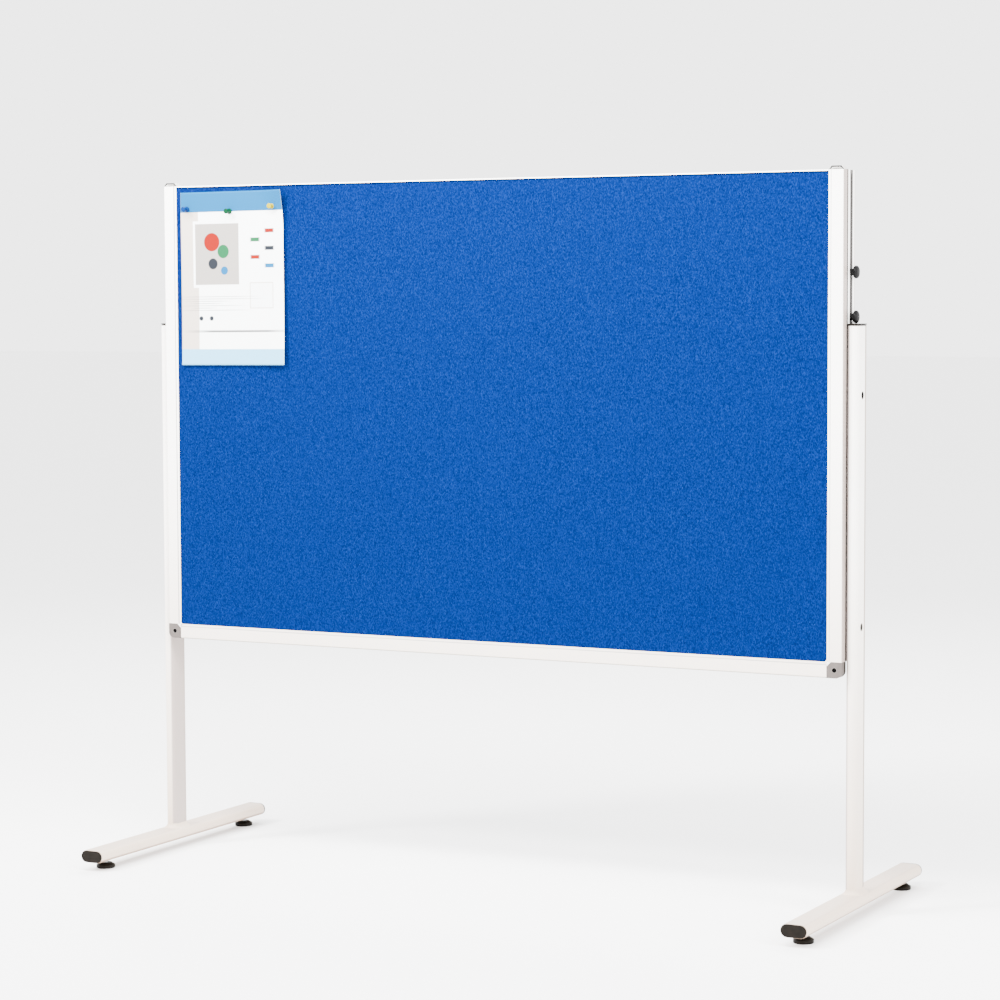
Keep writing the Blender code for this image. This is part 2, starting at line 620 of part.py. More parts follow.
def build_post_cap(name, side):
    """Make the cap on a post, with its tongue down the tube."""
    overhang = 2 * POST_CAP_OVERHANG
    middle = POST_CAP_TOP - POST_CAP_FLANGE / 2
    cap = outline_solid(f"{name}_post_cap", [oval_loop(POST_THICKNESS + overhang, POST_WIDTH + overhang)],
                        POST_CAP_FLANGE, (side * POST_X, 0.0, middle), UPRIGHT, BLACK_PLASTIC)
    length = POST_CAP_TONGUE + POST_CAP_FLANGE / 2
    inner = outline_solid(f"{name}_post_cap_tongue", [plug_loop(POST_THICKNESS, POST_WIDTH)], length,
                          (side * POST_X, 0.0, middle - length / 2), UPRIGHT, None)
    smooth(combine(cap, inner, "UNION"))


def build_glides():
    """Make the levelling glides, each a pad on a stud, and the threaded inserts in the feet."""
    bore = GLIDE_STUD_RADIUS + SEAT_GAP
    inset = GLIDE_RADIUS - GLIDE_EDGE
    pad = [(0.0, GLIDE_SOCKET_FLOOR), (bore, GLIDE_SOCKET_FLOOR), (bore, GLIDE_HEIGHT),
           (GLIDE_TOP_RADIUS, GLIDE_HEIGHT), (inset, GLIDE_RIM_HEIGHT),
           (GLIDE_RADIUS, GLIDE_RIM_HEIGHT - GLIDE_EDGE), (GLIDE_RADIUS, GLIDE_EDGE), (inset, 0.0),
           (0.0, 0.0)]
    flange_top = FOOT_UNDERSIDE - SEAT_GAP
    flange_low = flange_top - INSERT_FLANGE
    top = flange_top + INSERT_LENGTH
    insert = [(bore, top), (INSERT_RADIUS, top), (INSERT_RADIUS, flange_top),
              (INSERT_FLANGE_RADIUS, flange_top), (INSERT_FLANGE_RADIUS, flange_low), (bore, flange_low)]
    for name, side in SIDES:
        for end, way in ENDS:
            spot = (side * POST_X, way * GLIDE_Y, 0.0)
            turned(f"{name}_{end}_glide_pad", pad, spot, (0.0, 0.0, 1.0), BLACK_PLASTIC)
            rod(f"{name}_{end}_glide_stud", GLIDE_STUD_RADIUS,
                (spot[0], spot[1], GLIDE_SOCKET_FLOOR + SEAT_GAP), (spot[0], spot[1], GLIDE_STUD_TOP), ZINC,
                SMALL_TURN_STEPS)
            turned(f"{name}_{end}_insert", insert, spot, (0.0, 0.0, 1.0), ZINC, SMALL_TURN_STEPS)


def slot_nut(name, side, z):
    """Make a slot nut, drilled for its screw."""
    nut = block(name, (NUT_THICKNESS, NUT_WIDTH, NUT_HEIGHT), (side * NUT_X, 0.0, z), ZINC, NUT_BEVEL)
    return drill(nut, f"{name}_bore", CLAMP_SCREW_RADIUS + SEAT_GAP, (side * CAVITY_FLOOR, 0.0, z),
                 (side * (HALF_WIDTH + CUT_OVERRUN), 0.0, z), SMALL_TURN_STEPS)


def build_clamps():
    """Make the flanged screws inside the posts, and the slot nuts that they pull on."""
    flange = POST_INNER + TUBE_WALL + SEAT_GAP - SCREW_END
    head = flange + CLAMP_FLANGE
    top = head + CLAMP_HEAD
    socket = top - CLAMP_SOCKET_DEPTH
    profile = [(0.0, socket), (CLAMP_SOCKET_RADIUS, socket), (CLAMP_SOCKET_RADIUS, top),
               (CLAMP_HEAD_RADIUS, top), (CLAMP_HEAD_RADIUS, head), (CLAMP_FLANGE_RADIUS, head),
               (CLAMP_FLANGE_RADIUS, flange), (CLAMP_SCREW_RADIUS, flange), (CLAMP_SCREW_RADIUS, 0.0),
               (0.0, 0.0)]
    for name, side in SIDES:
        for level, z in zip(("lower", "upper"), CLAMP_HEIGHTS):
            turned(f"{name}_{level}_clamp_screw", profile, (side * SCREW_END, 0.0, z), (side, 0.0, 0.0), ZINC,
                   SMALL_TURN_STEPS)
            slot_nut(f"{name}_{level}_clamp_nut", side, z)


def build_knobs():
    """Make the stop knobs, each with a moulded-in stud, and their nuts in the slots."""
    foot = KNOB_BASE - SCREW_END
    profile = [(0.0, foot + KNOB_LENGTH)]
    profile += [(share * KNOB_RADIUS, foot + reach * KNOB_LENGTH) for share, reach in KNOB_SHARES]
    profile += [(KNOB_NECK_RADIUS, foot + KNOB_NECK_HEIGHT), (KNOB_FOOT_RADIUS, foot),
                (CLAMP_SCREW_RADIUS, foot), (CLAMP_SCREW_RADIUS, 0.0), (0.0, 0.0)]
    for name, side in SIDES:
        for level, z in KNOB_HEIGHTS.items():
            turned(f"{name}_{level}_knob", profile, (side * SCREW_END, 0.0, z), (side, 0.0, 0.0),
                   BLACK_PLASTIC)
            slot_nut(f"{name}_{level}_knob_nut", side, z)


build_rails()
build_corners()
build_sheet_and_pins(build_panel())
build_channels()
build_feet()
build_posts()
build_glides()
build_clamps()
build_knobs()
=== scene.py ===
"""Looks of a mobile pinboard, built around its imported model.

Lengths are in metres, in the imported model's own frame: +X runs along the board to the right of
someone who faces its felt, +Y to the back and +Z up. Side is -1 on the left and +1 on the right,
and toward is -1 at the front and +1 at the rear.
"""
import json  # noqa: E402
import logging  # noqa: E402
import math  # noqa: E402
from dataclasses import dataclass  # noqa: E402
from enum import Enum  # noqa: E402

import bmesh  # noqa: E402
import bpy  # noqa: E402
import numpy as np  # noqa: E402
from mathutils import Matrix, Vector  # noqa: E402

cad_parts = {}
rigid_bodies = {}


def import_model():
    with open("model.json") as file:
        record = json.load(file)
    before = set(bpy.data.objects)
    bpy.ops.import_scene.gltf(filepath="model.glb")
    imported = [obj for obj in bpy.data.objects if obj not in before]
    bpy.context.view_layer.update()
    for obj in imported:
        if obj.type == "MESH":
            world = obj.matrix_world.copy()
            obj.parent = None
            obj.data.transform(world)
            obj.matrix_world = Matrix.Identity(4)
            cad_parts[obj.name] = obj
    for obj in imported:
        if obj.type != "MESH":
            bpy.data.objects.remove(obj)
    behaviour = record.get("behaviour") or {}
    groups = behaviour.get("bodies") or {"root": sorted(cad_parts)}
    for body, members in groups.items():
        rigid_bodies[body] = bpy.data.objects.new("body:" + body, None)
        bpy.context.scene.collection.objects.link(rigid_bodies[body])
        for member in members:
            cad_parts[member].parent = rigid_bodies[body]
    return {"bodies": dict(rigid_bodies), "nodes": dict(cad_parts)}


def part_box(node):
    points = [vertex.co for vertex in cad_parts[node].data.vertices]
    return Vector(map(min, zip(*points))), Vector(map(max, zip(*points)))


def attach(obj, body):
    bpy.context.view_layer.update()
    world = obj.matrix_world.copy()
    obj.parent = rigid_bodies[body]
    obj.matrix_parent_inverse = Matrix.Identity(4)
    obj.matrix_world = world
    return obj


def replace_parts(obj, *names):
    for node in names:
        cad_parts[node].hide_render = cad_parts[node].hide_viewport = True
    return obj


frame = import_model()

LOG = logging.getLogger("pinboard")
SIDES = {"left": -1, "right": 1}
ENDS = {"front": -1, "rear": 1}
LEVELS = ("lower", "upper")

# Width of the frame that the camera's focal length is given for
PHOTO_PIXELS = 1000
# Points that lie closer than this are one point
MERGE_DISTANCE = 0.000002
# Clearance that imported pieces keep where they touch
SEAT_GAP = 0.0003
# The pinned sheet as it was cut
SHEET_WIDTH = 0.210
SHEET_HEIGHT = 0.297
SHEET_ASPECT = SHEET_WIDTH / SHEET_HEIGHT
# The open end of a soil, farther out than any piece
BEYOND = 2.0
# Values between which most of a noise lies
NOISE_SPAN = (0.3, 0.7)

Color = tuple[float, float, float]
Point = tuple[float, float, float]
Pair = tuple[float, float]
Socket = bpy.types.NodeSocket
Piece = bpy.types.Object
Material = bpy.types.Material


class Axis(Enum):
    """The level axis that a turned piece points along."""

    RIGHT = (1.0, 0.0, 0.0)
    LEFT = (-1.0, 0.0, 0.0)
    BACK = (0.0, 1.0, 0.0)
    FRONT = (0.0, -1.0, 0.0)


def new_mesh(name: str, points: np.ndarray, quads: np.ndarray, uv: np.ndarray | None = None) -> Piece:
    """Link a mesh made of quads, with its doubles merged and its faces turned outwards.

    Args:
        name: The piece's name.
        points: Corners, one row of x, y, z each.
        quads: Corner numbers, four to a row.
        uv: Optional place of each corner on the surface, one row each.

    Returns:
        The new object, at the origin.
    """
    mesh = bpy.data.meshes.new(name)
    mesh.from_pydata(points.tolist(), [], quads.tolist())
    if uv is not None:
        layer = mesh.uv_layers.new(name="surface")
        layer.data.foreach_set("uv", uv[quads.ravel()].astype(np.float32).ravel())
    shell = bmesh.new()
    shell.from_mesh(mesh)
    bmesh.ops.remove_doubles(shell, verts=shell.verts, dist=MERGE_DISTANCE)
    if all(edge.is_manifold for edge in shell.edges):
        bmesh.ops.recalc_face_normals(shell, faces=shell.faces)
    shell.to_mesh(mesh)
    shell.free()
    mesh.shade_smooth()
    made = bpy.data.objects.new(name, mesh)
    bpy.context.scene.collection.objects.link(made)
    return made


def grid_quads(rows: int, columns: int, wrap: bool = False) -> np.ndarray:
    """Number the quads of a grid of points.

    Args:
        rows: Count of points down the grid.
        columns: Count of points along a row.
        wrap: Whether each row's last point joins its first.

    Returns:
        Corner numbers, four to a row.
    """
    last = columns if wrap else columns - 1
    row, column = np.meshgrid(np.arange(rows - 1), np.arange(last), indexing="ij")
    after = (column + 1) % columns
    corners = (row * columns + column, row * columns + after, (row + 1) * columns + after,
               (row + 1) * columns + column)
    return np.stack(corners, -1).reshape(-1, 4)


def turned(name: str, profile: np.ndarray, foot: Point, axis: Axis, steps: int) -> Piece:
    """Turn a profile about a level axis.

    The point at angle a and profile row (r, h) is foot + h * axis + r * (cos a, sin a), where the
    last pair is counted straight up and level across the axis.

    Args:
        name: The piece's name.
        profile: Rows of radius and height, from one end on the axis to the other.
        foot: The point that heights are counted from.
        axis: The way that heights grow.
        steps: Count of points round the axis.

    Returns:
        The turned piece.
    """
    direction = np.array(axis.value)
    upwards = np.array((0.0, 0.0, 1.0))
    across = np.cross(direction, upwards)
    angle = np.linspace(0.0, 2.0 * math.pi, steps, endpoint=False)[None, :, None]
    radius, height = profile[:, 0][:, None, None], profile[:, 1][:, None, None]
    points = np.array(foot) + height * direction + radius * (np.cos(angle) * upwards + np.sin(angle) * across)
    return new_mesh(name, points.reshape(-1, 3), grid_quads(len(profile), steps, wrap=True))


def rounded(profile: np.ndarray, steps: int = 6) -> np.ndarray:
    """Smooth a profile's inner corners.

    Each corner is swapped for a quadratic curve between the middles of the lines that meet there:
    (1 - t)^2 * before + 2 t (1 - t) * corner + t^2 * after.

    Args:
        profile: Rows of radius and height.
        steps: Count of points on each curve.

    Returns:
        The finer profile, with the same two ends.
    """
    middles = (profile[:-1] + profile[1:]) / 2
    share = np.linspace(0.0, 1.0, steps)[:, None]
    curves = [(1 - share) ** 2 * before + 2 * share * (1 - share) * corner + share ** 2 * after
              for before, corner, after in zip(middles[:-1], profile[1:-1], middles[1:])]
    return np.concatenate([profile[:1], *curves, profile[-1:]])


def solidify(piece: Piece, thickness: float, offset: float) -> None:
    """Give an open surface its thickness, grown to one side by offset from -1 to 1."""
    wall = piece.modifiers.new("thickness", "SOLIDIFY")
    wall.thickness = thickness
    wall.offset = offset


class Sketch:
    """A material's node tree, with short calls for the nodes that the finishes share."""

    def __init__(self, name: str) -> None:
        """Start a material with one Principled shader."""
        self.material = bpy.data.materials.new(name)
        self.material.use_nodes = True
        self.tree = self.material.node_tree
        self.shader = self.tree.nodes["Principled BSDF"]
        self.coordinates = self.tree.nodes.new("ShaderNodeTexCoord")

    def uniform(self, **values: float) -> None:
        """Set values that are the same all over straight on the shader, named with _ for a space."""
        for name, value in values.items():
            self.shader.inputs[name.replace("_", " ")].default_value = value

    def wire(self, source: Socket, target: Socket) -> None:
        """Join two sockets."""
        self.tree.links.new(source, target)

    def feed(self, socket: Socket, value: object) -> None:
        """Wire a socket to a socket, or set it to a plain value."""
        if isinstance(value, Socket):
            self.wire(value, socket)
        else:
            socket.default_value = value

    def stretched(self, scale: Point) -> Socket:
        """Return Object coordinates multiplied by a scale along each axis."""
        mapping = self.tree.nodes.new("ShaderNodeMapping")
        mapping.inputs["Scale"].default_value = scale
        self.wire(self.coordinates.outputs["Object"], mapping.inputs["Vector"])
        return mapping.outputs["Vector"]

    def noise(self, scale: float, detail: float = 3.0, vector: Socket | None = None) -> Socket:
        """Return a noise value, by default on Object coordinates."""
        made = self.tree.nodes.new("ShaderNodeTexNoise")
        made.inputs["Scale"].default_value = scale
        made.inputs["Detail"].default_value = detail
        self.wire(vector or self.coordinates.outputs["Object"], made.inputs["Vector"])
        return made.outputs["Fac"]

    def math(self, operation: str, first: object, second: object = 0.0) -> Socket:
        """Return the result of a Math node, clamped to no range."""
        made = self.tree.nodes.new("ShaderNodeMath")
        made.operation = operation
        self.feed(made.inputs[0], first)
        self.feed(made.inputs[1], second)
        return made.outputs[0]

    def distance(self, first: Socket, second: Socket) -> Socket:
        """Return the root of the sum of two values' squares."""
        squares = [self.math("MULTIPLY", value, value) for value in (first, second)]
        return self.math("SQRT", self.math("ADD", *squares))

    def spread(self, value: Socket, low: float, high: float, start: float = 0.0, end: float = 1.0) -> Socket:
        """Map a value from low and high to start and end, and hold it there."""
        made = self.tree.nodes.new("ShaderNodeMapRange")
        self.wire(value, made.inputs["Value"])
        for name, number in (("From Min", low), ("From Max", high), ("To Min", start), ("To Max", end)):
            made.inputs[name].default_value = number
        return made.outputs["Result"]

    def places(self) -> tuple[Socket, Socket, Socket]:
        """Return the place on the part as |x|, y and z, so that left and right share a pattern."""
        split = self.tree.nodes.new("ShaderNodeSeparateXYZ")
        self.wire(self.coordinates.outputs["Object"], split.inputs[0])
        return self.math("ABSOLUTE", split.outputs[0]), split.outputs[1], split.outputs[2]

    def band(self, value: Socket, low: float, high: float, blur: float) -> Socket:
        """Return 1 where a value lies from low to high, falling to 0 over blur at either end."""
        away = self.math("ABSOLUTE", self.math("SUBTRACT", value, (low + high) / 2))
        half = (high - low) / 2
        return self.spread(away, half, half + blur, 1.0, 0.0)

    def mix(self, share: object, first: object, second: object) -> Socket:
        """Return a colour between two colours."""
        made = self.tree.nodes.new("ShaderNodeMix")
        made.data_type = "RGBA"
        self.feed(made.inputs["Factor"], share)
        for socket, value in ((made.inputs[6], first), (made.inputs[7], second)):
            self.feed(socket, (*value, 1.0) if isinstance(value, tuple) else value)
        return made.outputs[2]

    def paint(self, color: Socket, shades_and_seams: tuple["Stain", ...] = ()) -> None:
        """Wire the base colour, with each painted shade and dark seam laid over it in turn."""
        places = self.places() if shades_and_seams else ()
        for painted_mark in shades_and_seams:
            color = self.mix(painted_mark.cover(self, places), color, painted_mark.tone)
        self.wire(color, self.shader.inputs["Base Color"])

    def roughen(self, grain: Socket, low: float, high: float) -> None:
        """Let a noise move the roughness from low to high."""
        self.wire(self.spread(grain, *NOISE_SPAN, low, high), self.shader.inputs["Roughness"])

    def bump(self, height: Socket, strength: float, distance: float) -> None:
        """Raise the surface by a height value, with a strength and a depth."""
        made = self.tree.nodes.new("ShaderNodeBump")
        made.inputs["Strength"].default_value = strength
        made.inputs["Distance"].default_value = distance
        self.wire(height, made.inputs["Height"])
        self.wire(made.outputs["Normal"], self.shader.inputs["Normal"])


@dataclass(frozen=True)
class ShadeAndSeam:
    """Painted shade, and a dark seam, laid in a box in |x|, y and z, where None means everywhere."""

    tone: Color
    across: Pair | None = None
    back: Pair | None = None
    up: Pair | None = None
    blur: float = 0.0003
    strength: float = 1.0

    def cover(self, sketch: Sketch, places: tuple[Socket, ...]) -> Socket | float:
        """Return how much of the mark shows, as the product of one band for each way that is bounded."""
        share: Socket | float = self.strength
        for value, span in zip(places, (self.across, self.back, self.up)):
            if span is not None:
                share = sketch.math("MULTIPLY", share, sketch.band(value, *span, self.blur))
        return share


@dataclass(frozen=True)
class OvalBore:
    """The unlit inside of an upright flat-oval tube, by the distance from its core line."""

    centre: float
    reach: float
    radius: float
    tone: Color
    blur: float = 0.0001

    def cover(self, sketch: Sketch, places: tuple[Socket, ...]) -> Socket:
        """Return 1 where sqrt((|x| - centre)^2 + max(|y| - reach, 0)^2) is under the radius, else 0."""
        across = sketch.math("SUBTRACT", places[0], self.centre)
        past_core = sketch.math("SUBTRACT", sketch.math("ABSOLUTE", places[1]), self.reach)
        along = sketch.math("MAXIMUM", past_core, 0.0)
        return sketch.spread(sketch.distance(across, along), self.radius, self.radius + self.blur, 1.0, 0.0)


@dataclass(frozen=True)
class RoundBore:
    """The unlit wall of a round recess sunk from the front, about an axis along Y."""

    across: float
    up: float
    radius: float
    face: float
    tone: Color
    blur: float = 0.0002
    depths: Pair = (0.0001, 0.0004)

    def cover(self, sketch: Sketch, places: tuple[Socket, ...]) -> Socket:
        """Return 1 behind the face where sqrt((|x| - across)^2 + (z - up)^2) is under the radius, else 0."""
        sideways = sketch.math("SUBTRACT", places[0], self.across)
        upwards = sketch.math("SUBTRACT", places[2], self.up)
        distance = sketch.distance(sideways, upwards)
        inside = sketch.spread(distance, self.radius, self.radius + self.blur, 1.0, 0.0)
        behind = sketch.spread(places[1], self.face + self.depths[0], self.face + self.depths[1])
        return sketch.math("MULTIPLY", inside, behind)


# Painted shade in boxes, tube bores and recesses, and the dark seam at the feet's rear plugs
Stain = ShadeAndSeam | OvalBore | RoundBore


@dataclass(frozen=True)
class PowderCoat:
    """Baked coat on metal: a fine orange-peel skin with a faint drift of tone, and painted shade in its
    seams, hollows and lower parts.
    """

    name: str
    light: Color
    shade: Color
    roughness: float = 0.38
    # Painted shade laid over the coat's own colour, and the dark rim of the feet's rear plugs
    shades_and_seams: tuple[Stain, ...] = ()
    gloss: float = 0.3
    drift_scale: float = 7.0
    drift_span: Pair = (0.35, 0.65)
    peel_scale: float = 900.0
    peel_swing: float = 0.06
    peel_bump: Pair = (0.12, 0.0001)

    def make(self) -> Material:
        """Return the coat's material."""
        sketch = Sketch(self.name)
        sketch.uniform(Specular_IOR_Level=self.gloss)
        drift = sketch.spread(sketch.noise(self.drift_scale), *self.drift_span)
        sketch.paint(sketch.mix(drift, self.shade, self.light), self.shades_and_seams)
        peel = sketch.noise(self.peel_scale, detail=2.0)
        sketch.roughen(peel, self.roughness - self.peel_swing, self.roughness + self.peel_swing)
        sketch.bump(peel, *self.peel_bump)
        return sketch.material


@dataclass(frozen=True)
class MouldedPlastic:
    """Moulded plastic with a fine spark-eroded grain."""

    name: str
    light: Color
    shade: Color
    roughness: float
    gloss: float = 0.05
    # Painted shade laid over the plastic's own colour
    shades_and_seams: tuple[Stain, ...] = ()
    drift_scale: float = 120.0
    grain_scale: float = 2200.0
    grain_swing: Pair = (-0.05, 0.08)
    grain_bump: Pair = (0.15, 0.00006)

    def make(self) -> Material:
        """Return the plastic's material."""
        sketch = Sketch(self.name)
        sketch.uniform(Specular_IOR_Level=self.gloss)
        grain = sketch.noise(self.grain_scale, detail=2.0)
        drift = sketch.spread(sketch.noise(self.drift_scale), *NOISE_SPAN)
        sketch.paint(sketch.mix(drift, self.shade, self.light), self.shades_and_seams)
        sketch.roughen(grain, *(self.roughness + swing for swing in self.grain_swing))
        sketch.bump(grain, *self.grain_bump)
        return sketch.material


@dataclass(frozen=True)
class PlatedSteel:
    """Plated or blackened steel with fine lengthwise draw marks."""

    name: str
    light: Color
    shade: Color
    roughness: float
    mark_scale: float = 400.0
    mark_stretch: Point = (1.0, 1.0, 6.0)
    mark_swing: Pair = (-0.08, 0.1)
    mark_bump: Pair = (0.1, 0.00005)

    def make(self) -> Material:
        """Return the steel's material."""
        sketch = Sketch(self.name)
        sketch.uniform(Metallic=1.0)
        marks = sketch.noise(self.mark_scale, detail=4.0, vector=sketch.stretched(self.mark_stretch))
        sketch.paint(sketch.mix(sketch.spread(marks, *NOISE_SPAN), self.shade, self.light))
        sketch.roughen(marks, *(self.roughness + swing for swing in self.mark_swing))
        sketch.bump(marks, *self.mark_bump)
        return sketch.material


@dataclass(frozen=True)
class NeedledFelt:
    """Needled felt: matted fibres in patches of light and dark, over a slow drift of tone."""

    name: str
    light: Color
    middle: Color
    dark: Color
    mat_scale: float = 300.0
    mat_span: Pair = (0.38, 0.62)
    fibre_scale: float = 900.0
    fibre_stretch: Point = (1.0, 1.0, 0.4)
    fibre_span: Pair = (0.48, 0.72)
    fibre_share: float = 0.75
    drift_scale: float = 5.0
    drift_span: Pair = (0.35, 0.65)
    drift_share: float = 0.12
    nap_bump: Pair = (0.5, 0.0006)

    def make(self) -> Material:
        """Return the felt's material."""
        sketch = Sketch(self.name)
        sketch.uniform(Roughness=0.95, Specular_IOR_Level=0.02)
        mats = sketch.noise(self.mat_scale)
        fibres = sketch.noise(self.fibre_scale, vector=sketch.stretched(self.fibre_stretch))
        drift = sketch.noise(self.drift_scale, detail=2.0)
        body = sketch.mix(sketch.spread(mats, *self.mat_span), self.dark, self.middle)
        tips = sketch.spread(fibres, *self.fibre_span, 0.0, self.fibre_share)
        slow = sketch.spread(drift, *self.drift_span, 0.0, self.drift_share)
        sketch.paint(sketch.mix(slow, sketch.mix(tips, body, self.light), self.middle))
        sketch.bump(sketch.math("ADD", mats, fibres), *self.nap_bump)
        return sketch.material


@dataclass(frozen=True)
class PulpBoard:
    """Raw pressed fibre board."""

    name: str
    light: Color
    shade: Color
    pulp_scale: float = 500.0
    pulp_bump: Pair = (0.4, 0.0004)

    def make(self) -> Material:
        """Return the board's material."""
        sketch = Sketch(self.name)
        sketch.uniform(Roughness=0.9)
        pulp = sketch.noise(self.pulp_scale, detail=5.0)
        sketch.paint(sketch.mix(pulp, self.shade, self.light))
        sketch.bump(pulp, *self.pulp_bump)
        return sketch.material


@dataclass(frozen=True)
class Patch:
    """A printed shape on the sheet, its places shares of the sheet's width and height."""

    color: Color
    centre: Pair
    half: Pair
    round: bool = False


SKY_BLUE = (0.0, 0.074, 0.185)
PALE_BLUE = (0.14, 0.38, 0.56)
PALE_GREY = (0.47, 0.41, 0.36)
MOUNT_WHITE = (0.85, 0.88, 0.88)
MOUNT_GREY = (0.26, 0.24, 0.22)
BOX_WHITE = (0.80, 0.83, 0.83)
RULE_GREY = (0.10, 0.10, 0.10)
CORAL = (0.16, 0.0055, 0.003)
LEAF = (0.006, 0.075, 0.028)
SLATE = (0.012, 0.014, 0.018)


def notice_patches() -> tuple[Patch, ...]:
    """Return the sheet's print: bands, a side column, a mounted panel of discs, swatches, rules and a box."""
    shapes = [Patch(PALE_GREY, centre=(0.075, 0.5), half=(0.095, 0.51)),
              Patch(SKY_BLUE, centre=(0.5, 0.95), half=(0.51, 0.066)),
              Patch(PALE_BLUE, centre=(0.5, 0.04), half=(0.51, 0.052)),
              Patch(MOUNT_WHITE, centre=(0.35, 0.64), half=(0.232, 0.192)),
              Patch(MOUNT_GREY, centre=(0.35, 0.64), half=(0.212, 0.176))]
    discs = ((CORAL, (0.30, 0.71), 0.075), (LEAF, (0.41, 0.655), 0.055), (SLATE, (0.31, 0.585), 0.045),
             (SKY_BLUE, (0.42, 0.545), 0.034), (SLATE, (0.19, 0.27), 0.020), (SLATE, (0.29, 0.27), 0.020))
    shapes += [Patch(color, centre, (radius, radius * SHEET_ASPECT), round=True)
               for color, centre, radius in discs]
    swatch_half = (0.045, 0.012)
    swatches = ((CORAL, (0.86, 0.77)), (SLATE, (0.86, 0.67)), (SKY_BLUE, (0.86, 0.57)),
                (LEAF, (0.72, 0.72)), (CORAL, (0.72, 0.62)))
    shapes += [Patch(color, centre, swatch_half) for color, centre in swatches]
    shapes += [Patch(PALE_GREY, centre=(0.78, 0.40), half=(0.115, 0.075)),
               Patch(BOX_WHITE, centre=(0.78, 0.40), half=(0.108, 0.070))]
    rule_left, rule_top, rule_step, rule_half = 0.16, 0.395, 0.013, 0.0016
    rule_lengths = (0.19, 0.21, 0.11, 0.08, 0.15, 0.06, 0.17)
    shapes += [Patch(RULE_GREY, (rule_left + length, rule_top - rule_step * row), (length, rule_half))
               for row, length in enumerate(rule_lengths)]
    shapes.append(Patch(RULE_GREY, centre=(0.56, 0.195), half=(0.41, 0.006)))
    return tuple(shapes)


@dataclass(frozen=True)
class PrintedPaper:
    """Coated paper with flat printed shapes and no lettering. Its pattern follows the sheet's own UV map."""

    name: str
    paper: Color
    patches: tuple[Patch, ...]
    edge_share: float = 0.002
    fibre_scale: float = 900.0
    fibre_share: float = 0.05
    fibre_bump: Pair = (0.06, 0.00005)

    def make(self) -> Material:
        """Return the paper's material."""
        sketch = Sketch(self.name)
        sketch.uniform(Roughness=0.5, Specular_IOR_Level=0.04)
        split = sketch.tree.nodes.new("ShaderNodeSeparateXYZ")
        sketch.wire(sketch.coordinates.outputs["UV"], split.inputs[0])
        fibre = sketch.noise(self.fibre_scale)
        color = sketch.mix(sketch.spread(fibre, *NOISE_SPAN, 0.0, self.fibre_share), self.paper, RULE_GREY)
        for patch in self.patches:
            color = sketch.mix(self.cover(sketch, split, patch), color, patch.color)
        sketch.paint(color)
        sketch.bump(fibre, *self.fibre_bump)
        return sketch.material

    def cover(self, sketch: Sketch, split: bpy.types.Node, patch: Patch) -> Socket:
        """Return 1 inside a patch and 0 outside it.

        The distance is the larger of |u - centre| / half and |v - centre| / half, or for a round
        patch the root of the sum of their squares, and the cover falls from 1 to 0 where it is 1.

        Args:
            sketch: The paper's node tree.
            split: The node that gives u and v.
            patch: The printed shape.

        Returns:
            The cover value.
        """
        shares = []
        for value, centre, half in zip(split.outputs, patch.centre, patch.half):
            away = sketch.math("ABSOLUTE", sketch.math("SUBTRACT", value, centre))
            shares.append(sketch.math("DIVIDE", away, half))
        distance = sketch.distance(*shares) if patch.round else sketch.math("MAXIMUM", *shares)
        blur = self.edge_share / min(patch.half)
        return sketch.spread(distance, 1.0 - blur, 1.0 + blur, 1.0, 0.0)


COAT_LIGHT = (0.93, 0.91, 0.88)
COAT_SHADE = (0.90, 0.88, 0.85)
TUBE_LIGHT = (0.92, 0.89, 0.85)
TUBE_SHADE = (0.88, 0.85, 0.81)
# Painted shade, laid where less light falls: in seams, gaps, hollows, on undersides, inner faces and lower
# parts. The slot's grey also draws the dark rim of the feet's rear plugs.
LIP_LINE_SHADE = (0.36, 0.35, 0.34)
EDGE_SHADE_GREY = (0.31, 0.255, 0.23)
DEEP_GAP_SHADE = (0.050, 0.044, 0.040)
HOLLOW_SHADE_DARK = (0.012, 0.011, 0.010)
SLOT_SHADE_AND_PLUG_RIM_GREY = (0.075, 0.070, 0.067)
WARM_SHADE = (0.27, 0.18, 0.125)
POST_REAR_SHADE = (0.26, 0.21, 0.175)
LOW_WARM_SHADE = (0.55, 0.44, 0.35)
UNDERSIDE_SHADE_OLIVE = (0.20, 0.17, 0.12)


